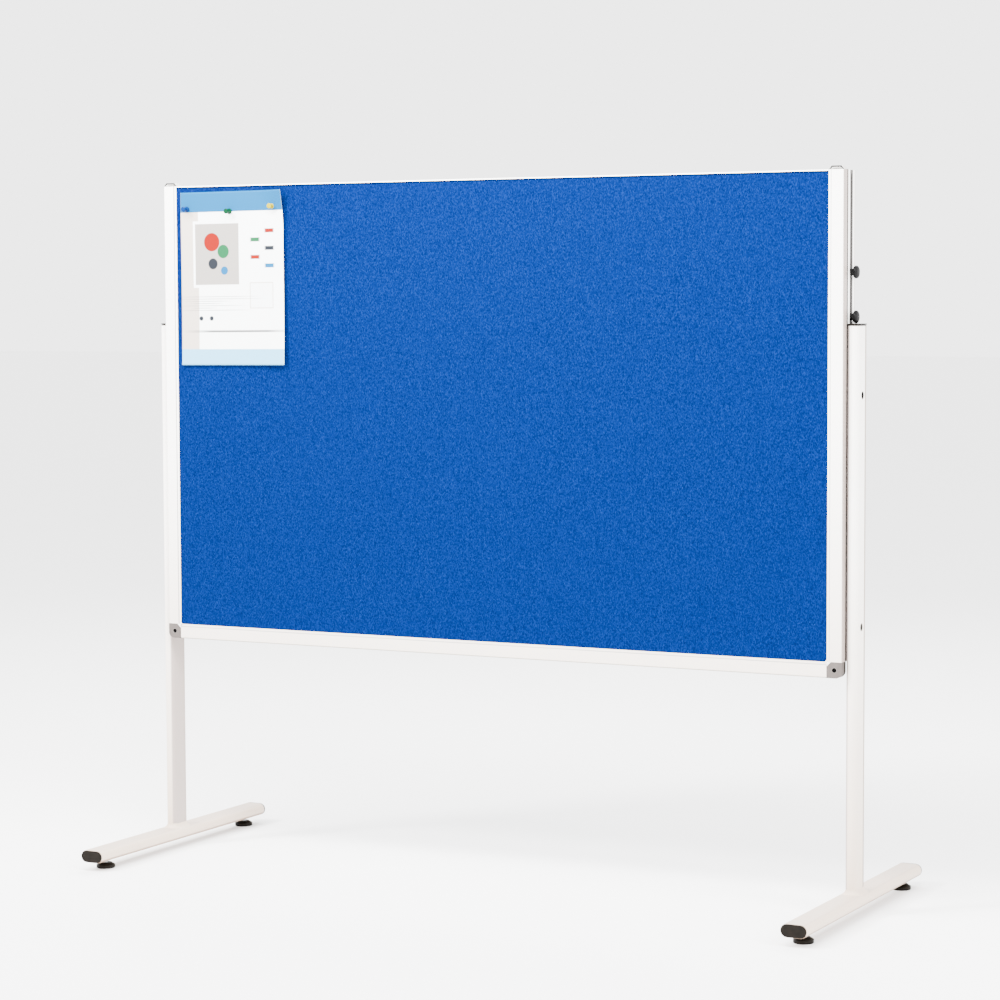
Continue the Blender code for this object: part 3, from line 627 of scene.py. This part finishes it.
@dataclass(frozen=True)
class ShadeAndSeams:
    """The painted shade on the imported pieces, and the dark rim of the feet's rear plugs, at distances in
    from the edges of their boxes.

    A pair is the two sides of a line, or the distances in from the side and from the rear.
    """

    lip_width: float = 0.021
    side_lip_line: Pair = (-0.0002, 0.0007)
    low_lip_line: Pair = (0.0203, 0.0212)
    rail_side: float = 0.0006
    rail_rear: Pair = (0.0012, 0.0030)
    rail_underside: float = 0.0008
    corner_rear: Pair = (0.0010, 0.0070)
    recess_radius: float = 0.0039
    slot_half: float = 0.0062
    channel_half: float = 0.0137
    bore_wall: float = 0.0012
    post_inner: float = 0.0034
    post_rear: Pair = (0.0012, 0.0125)
    post_top: float = 0.0014
    foot_top: float = 0.0010
    foot_underside: float = 0.0036
    foot_rear: float = 0.0030

    def on_rails(self) -> tuple[Stain, ...]:
        """Return the frame's painted shade: warm lower down, grey lines at the lip, and a darker outer side,
        rear edge and underside.
        """
        _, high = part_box("right_side_rail")
        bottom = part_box("right_bottom_corner")[0].z
        lip = high.x - self.lip_width
        line_start, line_end = self.side_lip_line
        low_start, low_end = self.low_lip_line
        from_side, from_rear = self.rail_rear
        # All painted shade: warm lower down, grey lines at the lip's step, a grey outer side, a dark gap at
        # the rear edge and an olive underside
        return (ShadeAndSeam(LOW_WARM_SHADE, up=(0.0, bottom), blur=0.35, strength=0.6),
                ShadeAndSeam(LIP_LINE_SHADE, across=(lip + line_start, lip + line_end),
                     up=(bottom + self.lip_width, BEYOND)),
                ShadeAndSeam(LIP_LINE_SHADE, across=(0.0, lip), up=(bottom + low_start, bottom + low_end)),
                ShadeAndSeam(EDGE_SHADE_GREY, across=(high.x - self.rail_side, BEYOND)),
                ShadeAndSeam(DEEP_GAP_SHADE, across=(high.x - from_side, BEYOND), back=(high.y - from_rear, BEYOND)),
                ShadeAndSeam(UNDERSIDE_SHADE_OLIVE, up=(0.0, bottom + self.rail_underside), blur=0.0010))

    def on_corners(self) -> tuple[Stain, ...]:
        """Return the lower corners' painted shade: the unlit wall of the screw recess and the dark gap at
        their rear edge beside the post.
        """
        rail_low, rail_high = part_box("right_side_rail")
        low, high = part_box("right_corner_screw")
        from_side, from_rear = self.corner_rear
        # Painted shade: the recess wall and the gap beside the post are darkened
        return (RoundBore((low.x + high.x) / 2, (low.z + high.z) / 2, self.recess_radius, rail_low.y,
                          HOLLOW_SHADE_DARK),
                ShadeAndSeam(HOLLOW_SHADE_DARK, across=(rail_high.x - from_side, BEYOND),
                     back=(rail_high.y - from_rear, BEYOND), blur=0.0010))

    def on_channels(self) -> tuple[Stain, ...]:
        """Return the channels' painted shade: inside the slot and along the front and rear edges of their
        outer face.
        """
        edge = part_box("right_side_rail")[1].x
        # Painted shade inside the slot and along the outer face's front and rear edges
        return (ShadeAndSeam(SLOT_SHADE_AND_PLUG_RIM_GREY, across=(0.0, edge), back=(-self.slot_half, self.slot_half), blur=0.0001),
                ShadeAndSeam(DEEP_GAP_SHADE, back=(-BEYOND, -self.channel_half), blur=0.0006),
                ShadeAndSeam(EDGE_SHADE_GREY, back=(self.channel_half, BEYOND), blur=0.0006))

    def on_posts(self) -> tuple[Stain, ...]:
        """Return the posts' painted shade: the unlit inside, warm lower down, the inner face, the rear face
        and the line under the cap.
        """
        low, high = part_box("right_post")
        foot_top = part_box("right_foot_tube")[1].z
        half_width = (high.y - low.y) / 2
        radius = (high.x - low.x) / 2
        from_side, from_rear = self.post_rear
        # Painted shade: dark inside the tube, warm lower down, grey on the inner face, warm grey on the rear
        # face and a dark line under the cap
        return (OvalBore((low.x + high.x) / 2, half_width - radius, radius - self.bore_wall, HOLLOW_SHADE_DARK),
                ShadeAndSeam(LOW_WARM_SHADE, up=(0.0, foot_top), blur=0.6),
                ShadeAndSeam(EDGE_SHADE_GREY, across=(0.0, low.x + self.post_inner), up=(foot_top, BEYOND), blur=0.0022),
                ShadeAndSeam(POST_REAR_SHADE, across=(low.x + from_side, BEYOND), back=(half_width - from_rear, BEYOND),
                     blur=0.0015),
                ShadeAndSeam(DEEP_GAP_SHADE, up=(high.z - self.post_top, BEYOND), blur=0.0004))

    def on_feet(self) -> tuple[Stain, ...]:
        """Return the feet's painted shade, warm all over with a greyer top and a darker underside, and a dark
        band at the rear end for the plug's rim.
        """
        low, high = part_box("right_foot_tube")
        # Painted shade: warm all over, greyer on top and darker underneath; the last band is the dark rim of
        # the rear plug
        return (ShadeAndSeam(LOW_WARM_SHADE),
                ShadeAndSeam(EDGE_SHADE_GREY, up=(high.z - self.foot_top, BEYOND), blur=0.0025, strength=0.35),
                ShadeAndSeam(WARM_SHADE, up=(0.0, low.z + self.foot_underside), blur=0.0034),
                ShadeAndSeam(SLOT_SHADE_AND_PLUG_RIM_GREY, back=(high.y - self.foot_rear, BEYOND), blur=0.0006))


# Each finish's name, light tone and shade
FINISHES = (
    # The weld's coat is painted all over in the warm tone that stands for shade low on the stand
    PowderCoat("white_weld_coat", TUBE_LIGHT, TUBE_SHADE, roughness=0.46, shades_and_seams=(ShadeAndSeam(LOW_WARM_SHADE),)),
    PowderCoat("white_fillet_coat", COAT_LIGHT, COAT_SHADE),
    MouldedPlastic("grey_rim_plastic", (0.18, 0.165, 0.155), (0.15, 0.14, 0.13), roughness=0.4),
    MouldedPlastic("top_cap_plastic", (0.55, 0.54, 0.52), (0.45, 0.44, 0.42), roughness=0.5),
    MouldedPlastic("cap_seam_plastic", (0.024, 0.023, 0.022), (0.016, 0.015, 0.014), roughness=0.5),
    MouldedPlastic("black_plastic", (0.0062, 0.0047, 0.0034), (0.0036, 0.0028, 0.0020), roughness=0.42),
    MouldedPlastic("charcoal_plastic", (0.0050, 0.0050, 0.0052), (0.0024, 0.0024, 0.0026), roughness=0.40,
                   gloss=0.06),
    MouldedPlastic("blue_pin_plastic", (0.0, 0.017, 0.090), (0.0, 0.011, 0.060), roughness=0.25, gloss=0.06),
    MouldedPlastic("green_pin_plastic", (0.0003, 0.034, 0.013), (0.0002, 0.022, 0.008), roughness=0.25,
                   gloss=0.06),
    MouldedPlastic("yellow_pin_plastic", (0.27, 0.225, 0.0), (0.20, 0.160, 0.0), roughness=0.25, gloss=0.04),
    PlatedSteel("zinc_steel", (0.42, 0.42, 0.41), (0.30, 0.30, 0.29), roughness=0.34),
    PlatedSteel("dark_steel", (0.0045, 0.0045, 0.0045), (0.002, 0.002, 0.002), roughness=0.5),
    NeedledFelt("blue_felt", light=(0.0034, 0.0212, 0.124), middle=(0.0003, 0.0075, 0.062),
                dark=(0.0001, 0.0038, 0.036)),
    PulpBoard("softboard", (0.58, 0.48, 0.35), (0.45, 0.36, 0.25)),
    PrintedPaper("printed_paper", paper=(0.88, 0.91, 0.91), patches=notice_patches()))

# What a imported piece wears, by the first of these words that its name holds
WEARERS = (
    ("blue_pin_head", "blue_pin_plastic"), ("green_pin_head", "green_pin_plastic"),
    ("yellow_pin_head", "yellow_pin_plastic"), ("bottom_corner", "grey_corner_plastic"),
    ("top_cap", "top_cap_plastic"), ("corner_screw", "dark_steel"), ("felt", "blue_felt"),
    ("core", "softboard"), ("sheet", "printed_paper"), ("knob_nut", "zinc_steel"),
    ("knob", "charcoal_plastic"), ("plug", "black_plastic"), ("post_cap", "black_plastic"),
    ("pad", "black_plastic"), ("foot_tube", "white_foot_coat"), ("post", "white_post_coat"),
    ("rail", "white_frame_coat"), ("channel", "white_channel_coat"), ("trim", "white_frame_coat"))


class Finishes:
    """Every material by its name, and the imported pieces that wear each."""

    def __init__(self) -> None:
        """Make the materials."""
        shade_and_seams = ShadeAndSeams()
        # Painted shade is laid over these finishes' own colours
        shaded = (
            PowderCoat("white_frame_coat", COAT_LIGHT, COAT_SHADE, shades_and_seams=shade_and_seams.on_rails()),
            PowderCoat("white_channel_coat", COAT_LIGHT, COAT_SHADE, shades_and_seams=shade_and_seams.on_channels()),
            PowderCoat("white_post_coat", TUBE_LIGHT, TUBE_SHADE, roughness=0.42, shades_and_seams=shade_and_seams.on_posts()),
            PowderCoat("white_foot_coat", TUBE_LIGHT, TUBE_SHADE, roughness=0.42, shades_and_seams=shade_and_seams.on_feet()),
            MouldedPlastic("grey_corner_plastic", (0.094, 0.080, 0.074), (0.078, 0.067, 0.062), roughness=0.5,
                           shades_and_seams=shade_and_seams.on_corners()))
        self.made = {finish.name: finish.make() for finish in (*shaded, *FINISHES)}

    def __getitem__(self, name: str) -> Material:
        """Return a material by its name."""
        return self.made[name]

    def dress_nodes(self, nodes: dict[str, Piece]) -> None:
        """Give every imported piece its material, and zinc where no word fits its name."""
        for name, node in nodes.items():
            worn = next((finish for word, finish in WEARERS if word in name), "zinc_steel")
            node.data.materials.clear()
            node.data.materials.append(self.made[worn])


def dressed(piece: Piece, material: Material, body: str) -> Piece:
    """Give a new piece its material and the body that it rides on."""
    piece.data.materials.append(material)
    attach(piece, body)
    LOG.info("made %s on %s", piece.name, body)
    return piece


@dataclass
class FeltPanels:
    """The front and rear felts, as matted cloth with a slightly uneven face."""

    spacing: float = 0.005
    unevenness: float = 0.00012
    thickness_share: float = 0.94
    waves: tuple[Point, ...] = ((0.5, 41.0, 17.0), (0.3, -29.0, 97.0), (0.2, 173.0, 131.0))

    def face(self, node: str, toward: int) -> Piece:
        """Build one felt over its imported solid.

        The face stands at y = face - toward * unevenness * (1 - swell). The swell is the sum over
        the waves of height * sin(along * x + up * z): a slow swell with finer ripples on it.

        Args:
            node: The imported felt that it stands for.
            toward: -1 where the face looks to the front, and +1 to the back.

        Returns:
            The felt.
        """
        low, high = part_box(node)
        columns = int((high.x - low.x) / self.spacing) + 1
        rows = int((high.z - low.z) / self.spacing) + 1
        x, z = np.meshgrid(np.linspace(low.x, high.x, columns), np.linspace(low.z, high.z, rows))
        swell = sum(height * np.sin(along * x + up * z) for height, along, up in self.waves)
        face = low.y if toward < 0 else high.y
        y = face - toward * self.unevenness * (1.0 - swell)
        quads = grid_quads(rows, columns)
        if toward > 0:
            quads = quads[:, ::-1]
        made = new_mesh(f"{node}_cloth", np.stack([x, y, z], -1).reshape(-1, 3), quads)
        solidify(made, (high.y - low.y) * self.thickness_share, -1.0)
        return made

    def build(self, finishes: Finishes) -> None:
        """Make both felts."""
        for end, toward in ENDS.items():
            node = f"{end}_felt"
            felt = dressed(self.face(node, toward), finishes["blue_felt"], "board")
            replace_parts(felt, node)


@dataclass
class NoticeSheet:
    """The pinned sheet, flat at its pins, with a corner that curls off the felt."""

    width: float = SHEET_WIDTH
    height: float = SHEET_HEIGHT
    thickness: float = 0.00015
    tilt: float = math.radians(0.4)
    curl_start: Pair = (0.84, 0.88)
    corner_curl: float = 0.013
    right_lift: float = 0.0042
    bottom_lift: float = 0.0030
    columns: int = 64
    rows: int = 90

    def build(self, finishes: Finishes) -> None:
        """Build the sheet.

        At shares u across and v up, the sheet stands off the felt by corner_curl * c^2, plus
        right_lift * u^4 * (1 - v^8), plus bottom_lift * (1 - v)^4. c is the mean of how far u and v
        are on their way from curl_start to 1, held above 0.

        Args:
            finishes: The materials.
        """
        low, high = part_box("notice_sheet")
        u, v = np.meshgrid(np.linspace(0.0, 1.0, self.columns), np.linspace(0.0, 1.0, self.rows))
        start_u, start_v = self.curl_start
        curl = np.clip(((u - start_u) / (1.0 - start_u) + (v - start_v) / (1.0 - start_v)) / 2, 0.0, None)
        lift = (self.corner_curl * curl ** 2 + self.right_lift * u ** 4 * (1.0 - v ** 8)
                + self.bottom_lift * (1.0 - v) ** 4)
        across, up = (u - 0.5) * self.width, (v - 1.0) * self.height
        x = (low.x + high.x) / 2 + across * math.cos(self.tilt) - up * math.sin(self.tilt)
        z = high.z + across * math.sin(self.tilt) + up * math.cos(self.tilt)
        points = np.stack([x, high.y - self.thickness - lift, z], -1).reshape(-1, 3)
        sheet = new_mesh("pinned_sheet", points, grid_quads(self.rows, self.columns),
                         np.stack([u, v], -1).reshape(-1, 2))
        solidify(sheet, self.thickness, 0.0)
        dressed(sheet, finishes["printed_paper"], "board")
        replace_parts(sheet, "notice_sheet")


@dataclass
class FrameTrim:
    """Small pieces of the board's frame: rounded inner corners, cap seams, recess rims and rear screws."""

    fillet_radius: float = 0.0045
    lip_step: float = 0.0008
    fillet_depth: float = 0.0011
    rail_face: float = 0.025
    corner_chamfer: float = 0.007
    rim_radius: float = 0.0041
    rim_wire: float = 0.00022
    rim_steps: int = 13
    seam_width: float = 0.0024
    seam_foot_share: float = 0.3
    seam_head_share: float = 0.6
    seam_depth: float = 0.0005
    cap_chamfer: float = 0.0045
    screw_radius: float = 0.0035
    screw_rise: float = 0.0018
    screw_profile_shares: tuple[Pair, ...] = (
        (0.0, 0.45), (0.35, 0.45), (0.40, 1.0), (0.9, 0.75), (1.0, 0.0), (0.0, 0.0))
    screw_height_shares: tuple[float, ...] = (0.06, 0.35, 0.65, 0.94)
    steps: int = 32

    def upright(self, name: str, flat: np.ndarray, face: float, quads: np.ndarray) -> Piece:
        """Stand a grid of points given as x and z up in the plane y = face."""
        points = np.stack([flat[..., 0], np.full(flat.shape[:2], face), flat[..., 1]], -1)
        return new_mesh(name, points.reshape(-1, 3), quads)

    def fillet(self, name: str, end: str) -> Piece:
        """Fill a lower corner of the felt's opening, down to the corner piece's chamfer.

        Two fans meet at the opening's square corner. One reaches the quarter circle that meets both
        lips, arc(a) with a over a quarter turn. The other reaches the straight line along the
        corner piece's chamfer.

        Args:
            name: The side, left or right.
            end: The face, front or rear.

        Returns:
            The open surface, which still needs its thickness.
        """
        side, toward = SIDES[name], ENDS[end]
        low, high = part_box(f"{name}_side_rail")
        corner = np.array((side * (max(abs(low.x), abs(high.x)) - self.rail_face), low.z))
        centre = corner + self.fillet_radius * np.array((-side, 1.0))
        angle = np.linspace(0.0, math.pi / 2, self.steps)
        arc = centre + self.fillet_radius * np.stack([side * np.cos(angle), -np.sin(angle)], -1)
        share = np.linspace(0.0, 1.0, self.steps)[:, None]
        first = corner + self.corner_chamfer * np.array((side, 0.0))
        last = corner + self.corner_chamfer * np.array((0.0, -1.0))
        flat = np.stack([first + share * (last - first), np.broadcast_to(corner, arc.shape), arc])
        face = low.y + self.lip_step if toward < 0 else high.y - self.lip_step
        quads = grid_quads(len(flat), self.steps)
        if side * toward > 0:
            quads = quads[:, ::-1]
        return self.upright(f"{name}_{end}_lip_fillet", flat, face, quads)

    def cap_seam(self, name: str, end: str) -> Piece:
        """Line the edge of a top cap's face.

        The line is a closed band between the face's outline, a trapezium, and the same outline drawn
        in by the seam's width, and by a share of it along the foot and at the two upper corners.

        Args:
            name: The side, left or right.
            end: The face, front or rear.

        Returns:
            The open surface, which still needs its thickness.
        """
        side, toward = SIDES[name], ENDS[end]
        low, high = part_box(f"{name}_top_cap")
        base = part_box(f"{name}_side_rail")[1].z
        outer, inner = (low.x, high.x) if side < 0 else (high.x, low.x)
        way, chamfer = -side, self.cap_chamfer
        outline = np.array(((outer, base), (inner, base), (inner - way * chamfer, high.z),
                            (outer + way * chamfer, high.z)))
        foot, head = self.seam_foot_share, self.seam_head_share
        inwards = np.array(((way, foot), (-way, foot), (-way * head, -1.0), (way * head, -1.0)))
        flat = np.stack([outline, outline + self.seam_width * inwards])
        face = low.y if toward < 0 else high.y
        quads = grid_quads(len(flat), len(outline), wrap=True)
        if side * toward < 0:
            quads = quads[:, ::-1]
        return self.upright(f"{name}_{end}_cap_seam", flat, face, quads)

    def rim(self, name: str) -> Piece:
        """Ring the recess of a corner screw: a circle of wire in the face, its section a small circle."""
        low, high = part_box(f"{name}_corner_screw")
        cap_low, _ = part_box(f"{name}_bottom_corner")
        turn = np.linspace(0.0, 2.0 * math.pi, self.rim_steps)
        profile = np.stack([self.rim_radius + self.rim_wire * np.cos(turn), self.rim_wire * np.sin(turn)], -1)
        centre = ((low.x + high.x) / 2, cap_low.y, (low.z + high.z) / 2)
        return turned(f"{name}_recess_rim", profile, centre, Axis.FRONT, self.steps)

    def rear_screw(self, name: str, number: int, share: float) -> Piece:
        """Turn a domed screw head on a channel's rear face, at a share of the channel's height."""
        low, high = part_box(f"{name}_channel")
        profile = rounded(np.array(self.screw_profile_shares) * (self.screw_radius, self.screw_rise))
        foot = ((low.x + high.x) / 2, high.y, low.z + share * (high.z - low.z))
        return turned(f"{name}_rear_screw_{number}", profile, foot, Axis.BACK, self.steps)

    def build(self, finishes: Finishes) -> None:
        """Make every trim piece."""
        for name in SIDES:
            for end in ENDS:
                fillet = self.fillet(name, end)
                solidify(fillet, self.fillet_depth, -1.0)
                dressed(fillet, finishes["white_fillet_coat"], "board")
                seam = self.cap_seam(name, end)
                solidify(seam, self.seam_depth, 0.0)
                dressed(seam, finishes["cap_seam_plastic"], "board")
            dressed(self.rim(name), finishes["grey_rim_plastic"], "board")
            for number, share in enumerate(self.screw_height_shares, 1):
                dressed(self.rear_screw(name, number, share), finishes["zinc_steel"], "board")


@dataclass
class WeldFlares:
    """The ground and coated weld that flares out from each post's foot onto its tube."""

    reach: float = 0.0075
    rise: float = 0.0085
    overlap: float = 0.0002
    ripple: float = 0.00012
    ripples: int = 48
    steps: int = 160
    rows: int = 14

    def build(self, finishes: Finishes) -> None:
        """Build a flare round each post.

        At turn a and share t, the flare stands out from the post's flat oval by
        reach * (1 - cos t) + ripple * sin t * cos(ripples * a), and over the tube's own surface by
        rise * (1 - sin t), with t over a quarter turn. Both are less a small overlap that sinks the
        flare's edges into the post and tube. The tube's surface is flat over its core and drops off
        the core by radius - sqrt(radius^2 - d^2).

        Args:
            finishes: The materials.
        """
        for name in SIDES:
            low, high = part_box(f"{name}_post")
            foot_low, foot_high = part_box(f"{name}_foot_tube")
            middle_x = (low.x + high.x) / 2
            radius = (high.x - low.x) / 2
            straight = (high.y - low.y) / 2 - radius
            tube_radius = (foot_high.z - foot_low.z) / 2
            core = (foot_high.x - foot_low.x) / 2 - tube_radius
            angle = np.linspace(0.0, 2.0 * math.pi, self.steps, endpoint=False)[None, :]
            turn = np.linspace(0.0, math.pi / 2, self.rows)[:, None]
            ripple = self.ripple * np.sin(turn) * np.cos(self.ripples * angle)
            spread = radius + self.reach * (1.0 - np.cos(turn)) + ripple - self.overlap
            x = middle_x + spread * np.cos(angle)
            y = spread * np.sin(angle) + np.where(np.sin(angle) >= 0.0, straight, -straight)
            off_core = np.clip(np.abs(x - middle_x) - core, 0.0, tube_radius)
            surface = foot_high.z - tube_radius + np.sqrt(tube_radius ** 2 - off_core ** 2)
            z = surface + self.rise * (1.0 - np.sin(turn)) - self.overlap * np.sin(turn)
            points = np.stack([x, y, z], -1).reshape(-1, 3)
            quads = grid_quads(self.rows, self.steps, wrap=True)[:, ::-1]
            flare = new_mesh(f"{name}_weld_flare", points, quads)
            dressed(flare, finishes["white_weld_coat"], "stand")


@dataclass
class StopKnobs:
    """The mushroom-shaped stop knobs, each over a dark plate in its channel's slot, which also stands for the
    knob's shadow.
    """

    profile_shares: tuple[Pair, ...] = (
        (0.00, 1.00), (0.36, 1.00), (0.70, 0.96), (0.95, 0.86), (1.02, 0.70), (1.00, 0.54), (0.86, 0.42),
        (0.66, 0.34), (0.53, 0.26), (0.51, 0.12), (0.56, 0.03), (0.56, 0.00), (0.00, 0.00))
    plate_width: float = 0.0064
    plate_height: float = 0.0170
    plate_power: float = 0.35
    plate_depth: float = 0.0015
    plate_proud: float = 0.00015
    plate_ring_shares: tuple[Pair, ...] = (
        (0.0, 0.0), (0.96, 0.0), (1.0, 0.06), (1.0, 1.0), (0.0, 1.0))
    steps: int = 96
    plate_steps: int = 48

    def channel_face(self, name: str) -> float:
        """Return how far out a channel's outer face lies."""
        return max(abs(corner.x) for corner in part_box(f"{name}_channel"))

    def grip(self, name: str, level: str, finishes: Finishes) -> None:
        """Turn one knob's profile of shares of its radius and length about its own axis.

        Args:
            name: The side, left or right.
            level: Which of the side's knobs, lower or upper.
            finishes: The materials.
        """
        node, side = f"{name}_{level}_knob", SIDES[name]
        low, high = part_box(node)
        base = self.channel_face(name) + SEAT_GAP
        length = max(abs(low.x), abs(high.x)) - base
        radius = (high.z - low.z) / 2
        profile = rounded(np.array(self.profile_shares) * (radius, length))
        foot = (side * base, (low.y + high.y) / 2, (low.z + high.z) / 2)
        knob = turned(f"{node}_grip", profile[::-1], foot, Axis.RIGHT if side > 0 else Axis.LEFT, self.steps)
        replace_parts(dressed(knob, finishes["charcoal_plastic"], node), node)

    def plate(self, name: str, level: str, finishes: Finishes) -> None:
        """Make the dark plate that fills the slot behind a knob, dark as the knob's shadow there.

        Its outline is a superellipse, (half_width * c(a), half_height * c(a - quarter turn)), where
        c is the cosine with its sign kept and its size raised to plate_power. Each ring is a share of
        the outline at a share of the plate's depth.

        Args:
            name: The side, left or right.
            level: Which of the side's knobs, lower or upper.
            finishes: The materials.
        """
        node, side = f"{name}_{level}_knob_nut", SIDES[name]
        low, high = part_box(node)
        face = side * (self.channel_face(name) + self.plate_proud)
        angle = np.linspace(0.0, 2.0 * math.pi, self.plate_steps, endpoint=False)
        wave = np.stack([np.cos(angle), np.sin(angle)], -1)
        half_size = np.array((self.plate_width, self.plate_height)) / 2
        outline = np.sign(wave) * np.abs(wave) ** self.plate_power * half_size
        rings = np.array(self.plate_ring_shares)[:, None, :]
        flat = rings[..., :1] * outline
        x = np.broadcast_to(face - side * rings[..., 1] * self.plate_depth, flat.shape[:2])
        points = np.stack([x, flat[..., 0] + (low.y + high.y) / 2, flat[..., 1] + (low.z + high.z) / 2], -1)
        quads = grid_quads(len(rings), self.plate_steps, wrap=True)
        # The plate is dark to stand in for the knob's shadow in the slot as well as for a plate
        plate = new_mesh(f"{node}_shadow_plate", points.reshape(-1, 3), quads)
        dressed(plate, finishes["dark_steel"], f"{name}_{level}_slider")

    def build(self, finishes: Finishes) -> None:
        """Build every knob and plate."""
        for name in SIDES:
            for level in LEVELS:
                self.grip(name, level, finishes)
                self.plate(name, level, finishes)


@dataclass(frozen=True)
class Lamp:
    """A soft rectangular lamp that looks at a target, with its sides in metres and its power in watts."""

    name: str
    spot: Point
    target: Point
    sides: Pair
    power: float

    def place(self) -> None:
        """Make the lamp."""
        light = bpy.data.lights.new(self.name, "AREA")
        light.shape = "RECTANGLE"
        light.size, light.size_y = self.sides
        light.energy = self.power
        holder = bpy.data.objects.new(self.name, light)
        bpy.context.scene.collection.objects.link(holder)
        holder.location = self.spot
        holder.rotation_euler = (Vector(self.target) - Vector(self.spot)).to_track_quat("-Z", "Y").to_euler()
        holder.visible_camera = False


@dataclass
class Studio:
    """The floor, the lights and the camera at the photograph's viewing angle."""

    focal_pixels: float = 2843.44
    yaw: float = math.radians(27.59)
    pitch: float = math.radians(4.05)
    roll: float = math.radians(-0.23)
    eye: Point = (2.18136, -4.15089, 0.96427)
    sensor: float = 36.0
    floor_reach: float = 40.0
    floor_scale: float = 1.5
    floor_tones: tuple[Color, Color] = ((0.90, 0.90, 0.90), (0.92, 0.92, 0.92))
    sky: float = 4.0
    lamps: tuple[Lamp, ...] = (
        Lamp("key", (-0.1, -0.90, 2.00), (0.0, 0.0, 1.05), (2.4, 0.4), 175.0),
        Lamp("window", (-2.6, -3.0, 3.2), (0.0, 0.0, 0.9), (0.8, 0.8), 480.0),
        Lamp("side", (3.2, -1.0, 1.8), (0.6, 0.0, 0.6), (1.2, 1.8), 200.0),
        Lamp("back", (-0.8, 2.6, 2.8), (0.0, 0.0, 0.8), (2.6, 1.2), 160.0))

    def build(self) -> None:
        """Make the floor, world, lamps and camera."""
        self.floor()
        world = bpy.data.worlds.new("studio")
        world.use_nodes = True
        backdrop = world.node_tree.nodes["Background"]
        backdrop.inputs["Color"].default_value = (1.0, 1.0, 1.0, 1.0)
        backdrop.inputs["Strength"].default_value = self.sky
        bpy.context.scene.world = world
        for lamp in self.lamps:
            lamp.place()
        self.camera()

    def floor(self) -> None:
        """Make the plain pale floor."""
        corners = self.floor_reach * np.array(((-1.0, -1.0, 0.0), (1.0, -1.0, 0.0), (1.0, 1.0, 0.0),
                                               (-1.0, 1.0, 0.0)))
        floor = new_mesh("studio_floor", corners, np.array([[0, 1, 2, 3]]))
        sketch = Sketch("pale_floor")
        sketch.uniform(Roughness=0.7)
        sketch.paint(sketch.mix(sketch.noise(self.floor_scale), *self.floor_tones))
        floor.data.materials.append(sketch.material)

    def camera(self) -> None:
        """Place the camera: forward from yaw and pitch, then turned about it by roll."""
        level = Vector((-math.sin(self.yaw), math.cos(self.yaw), 0.0))
        forward = math.cos(self.pitch) * level - Vector((0.0, 0.0, math.sin(self.pitch)))
        right = Vector((math.cos(self.yaw), math.sin(self.yaw), 0.0))
        up = right.cross(forward)
        turned_right = math.cos(self.roll) * right + math.sin(self.roll) * up
        turned_up = math.cos(self.roll) * up - math.sin(self.roll) * right
        lens = bpy.data.cameras.new("photo_view")
        lens.sensor_width = self.sensor
        lens.lens = self.focal_pixels / PHOTO_PIXELS * self.sensor
        holder = bpy.data.objects.new("photo_view", lens)
        bpy.context.scene.collection.objects.link(holder)
        basis = Matrix((turned_right, turned_up, -forward)).transposed().to_4x4()
        holder.matrix_world = Matrix.Translation(self.eye) @ basis
        bpy.context.scene.camera = holder


def clear_scene() -> None:
    """Remove whatever stands in the scene beside the frame."""
    kept = {*frame["nodes"].values(), *frame["bodies"].values()}
    for leftover in set(bpy.data.objects) - kept:
        bpy.data.objects.remove(leftover, do_unlink=True)


def main() -> None:
    """Build the pinboard's looks in order."""
    logging.basicConfig(level=logging.INFO)
    clear_scene()
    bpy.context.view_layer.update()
    finishes = Finishes()
    finishes.dress_nodes(frame["nodes"])
    Studio().build()
    for piece in (FeltPanels(), NoticeSheet(), FrameTrim(), WeldFlares(), StopKnobs()):
        piece.build(finishes)


if __name__ == "__main__":
    main()
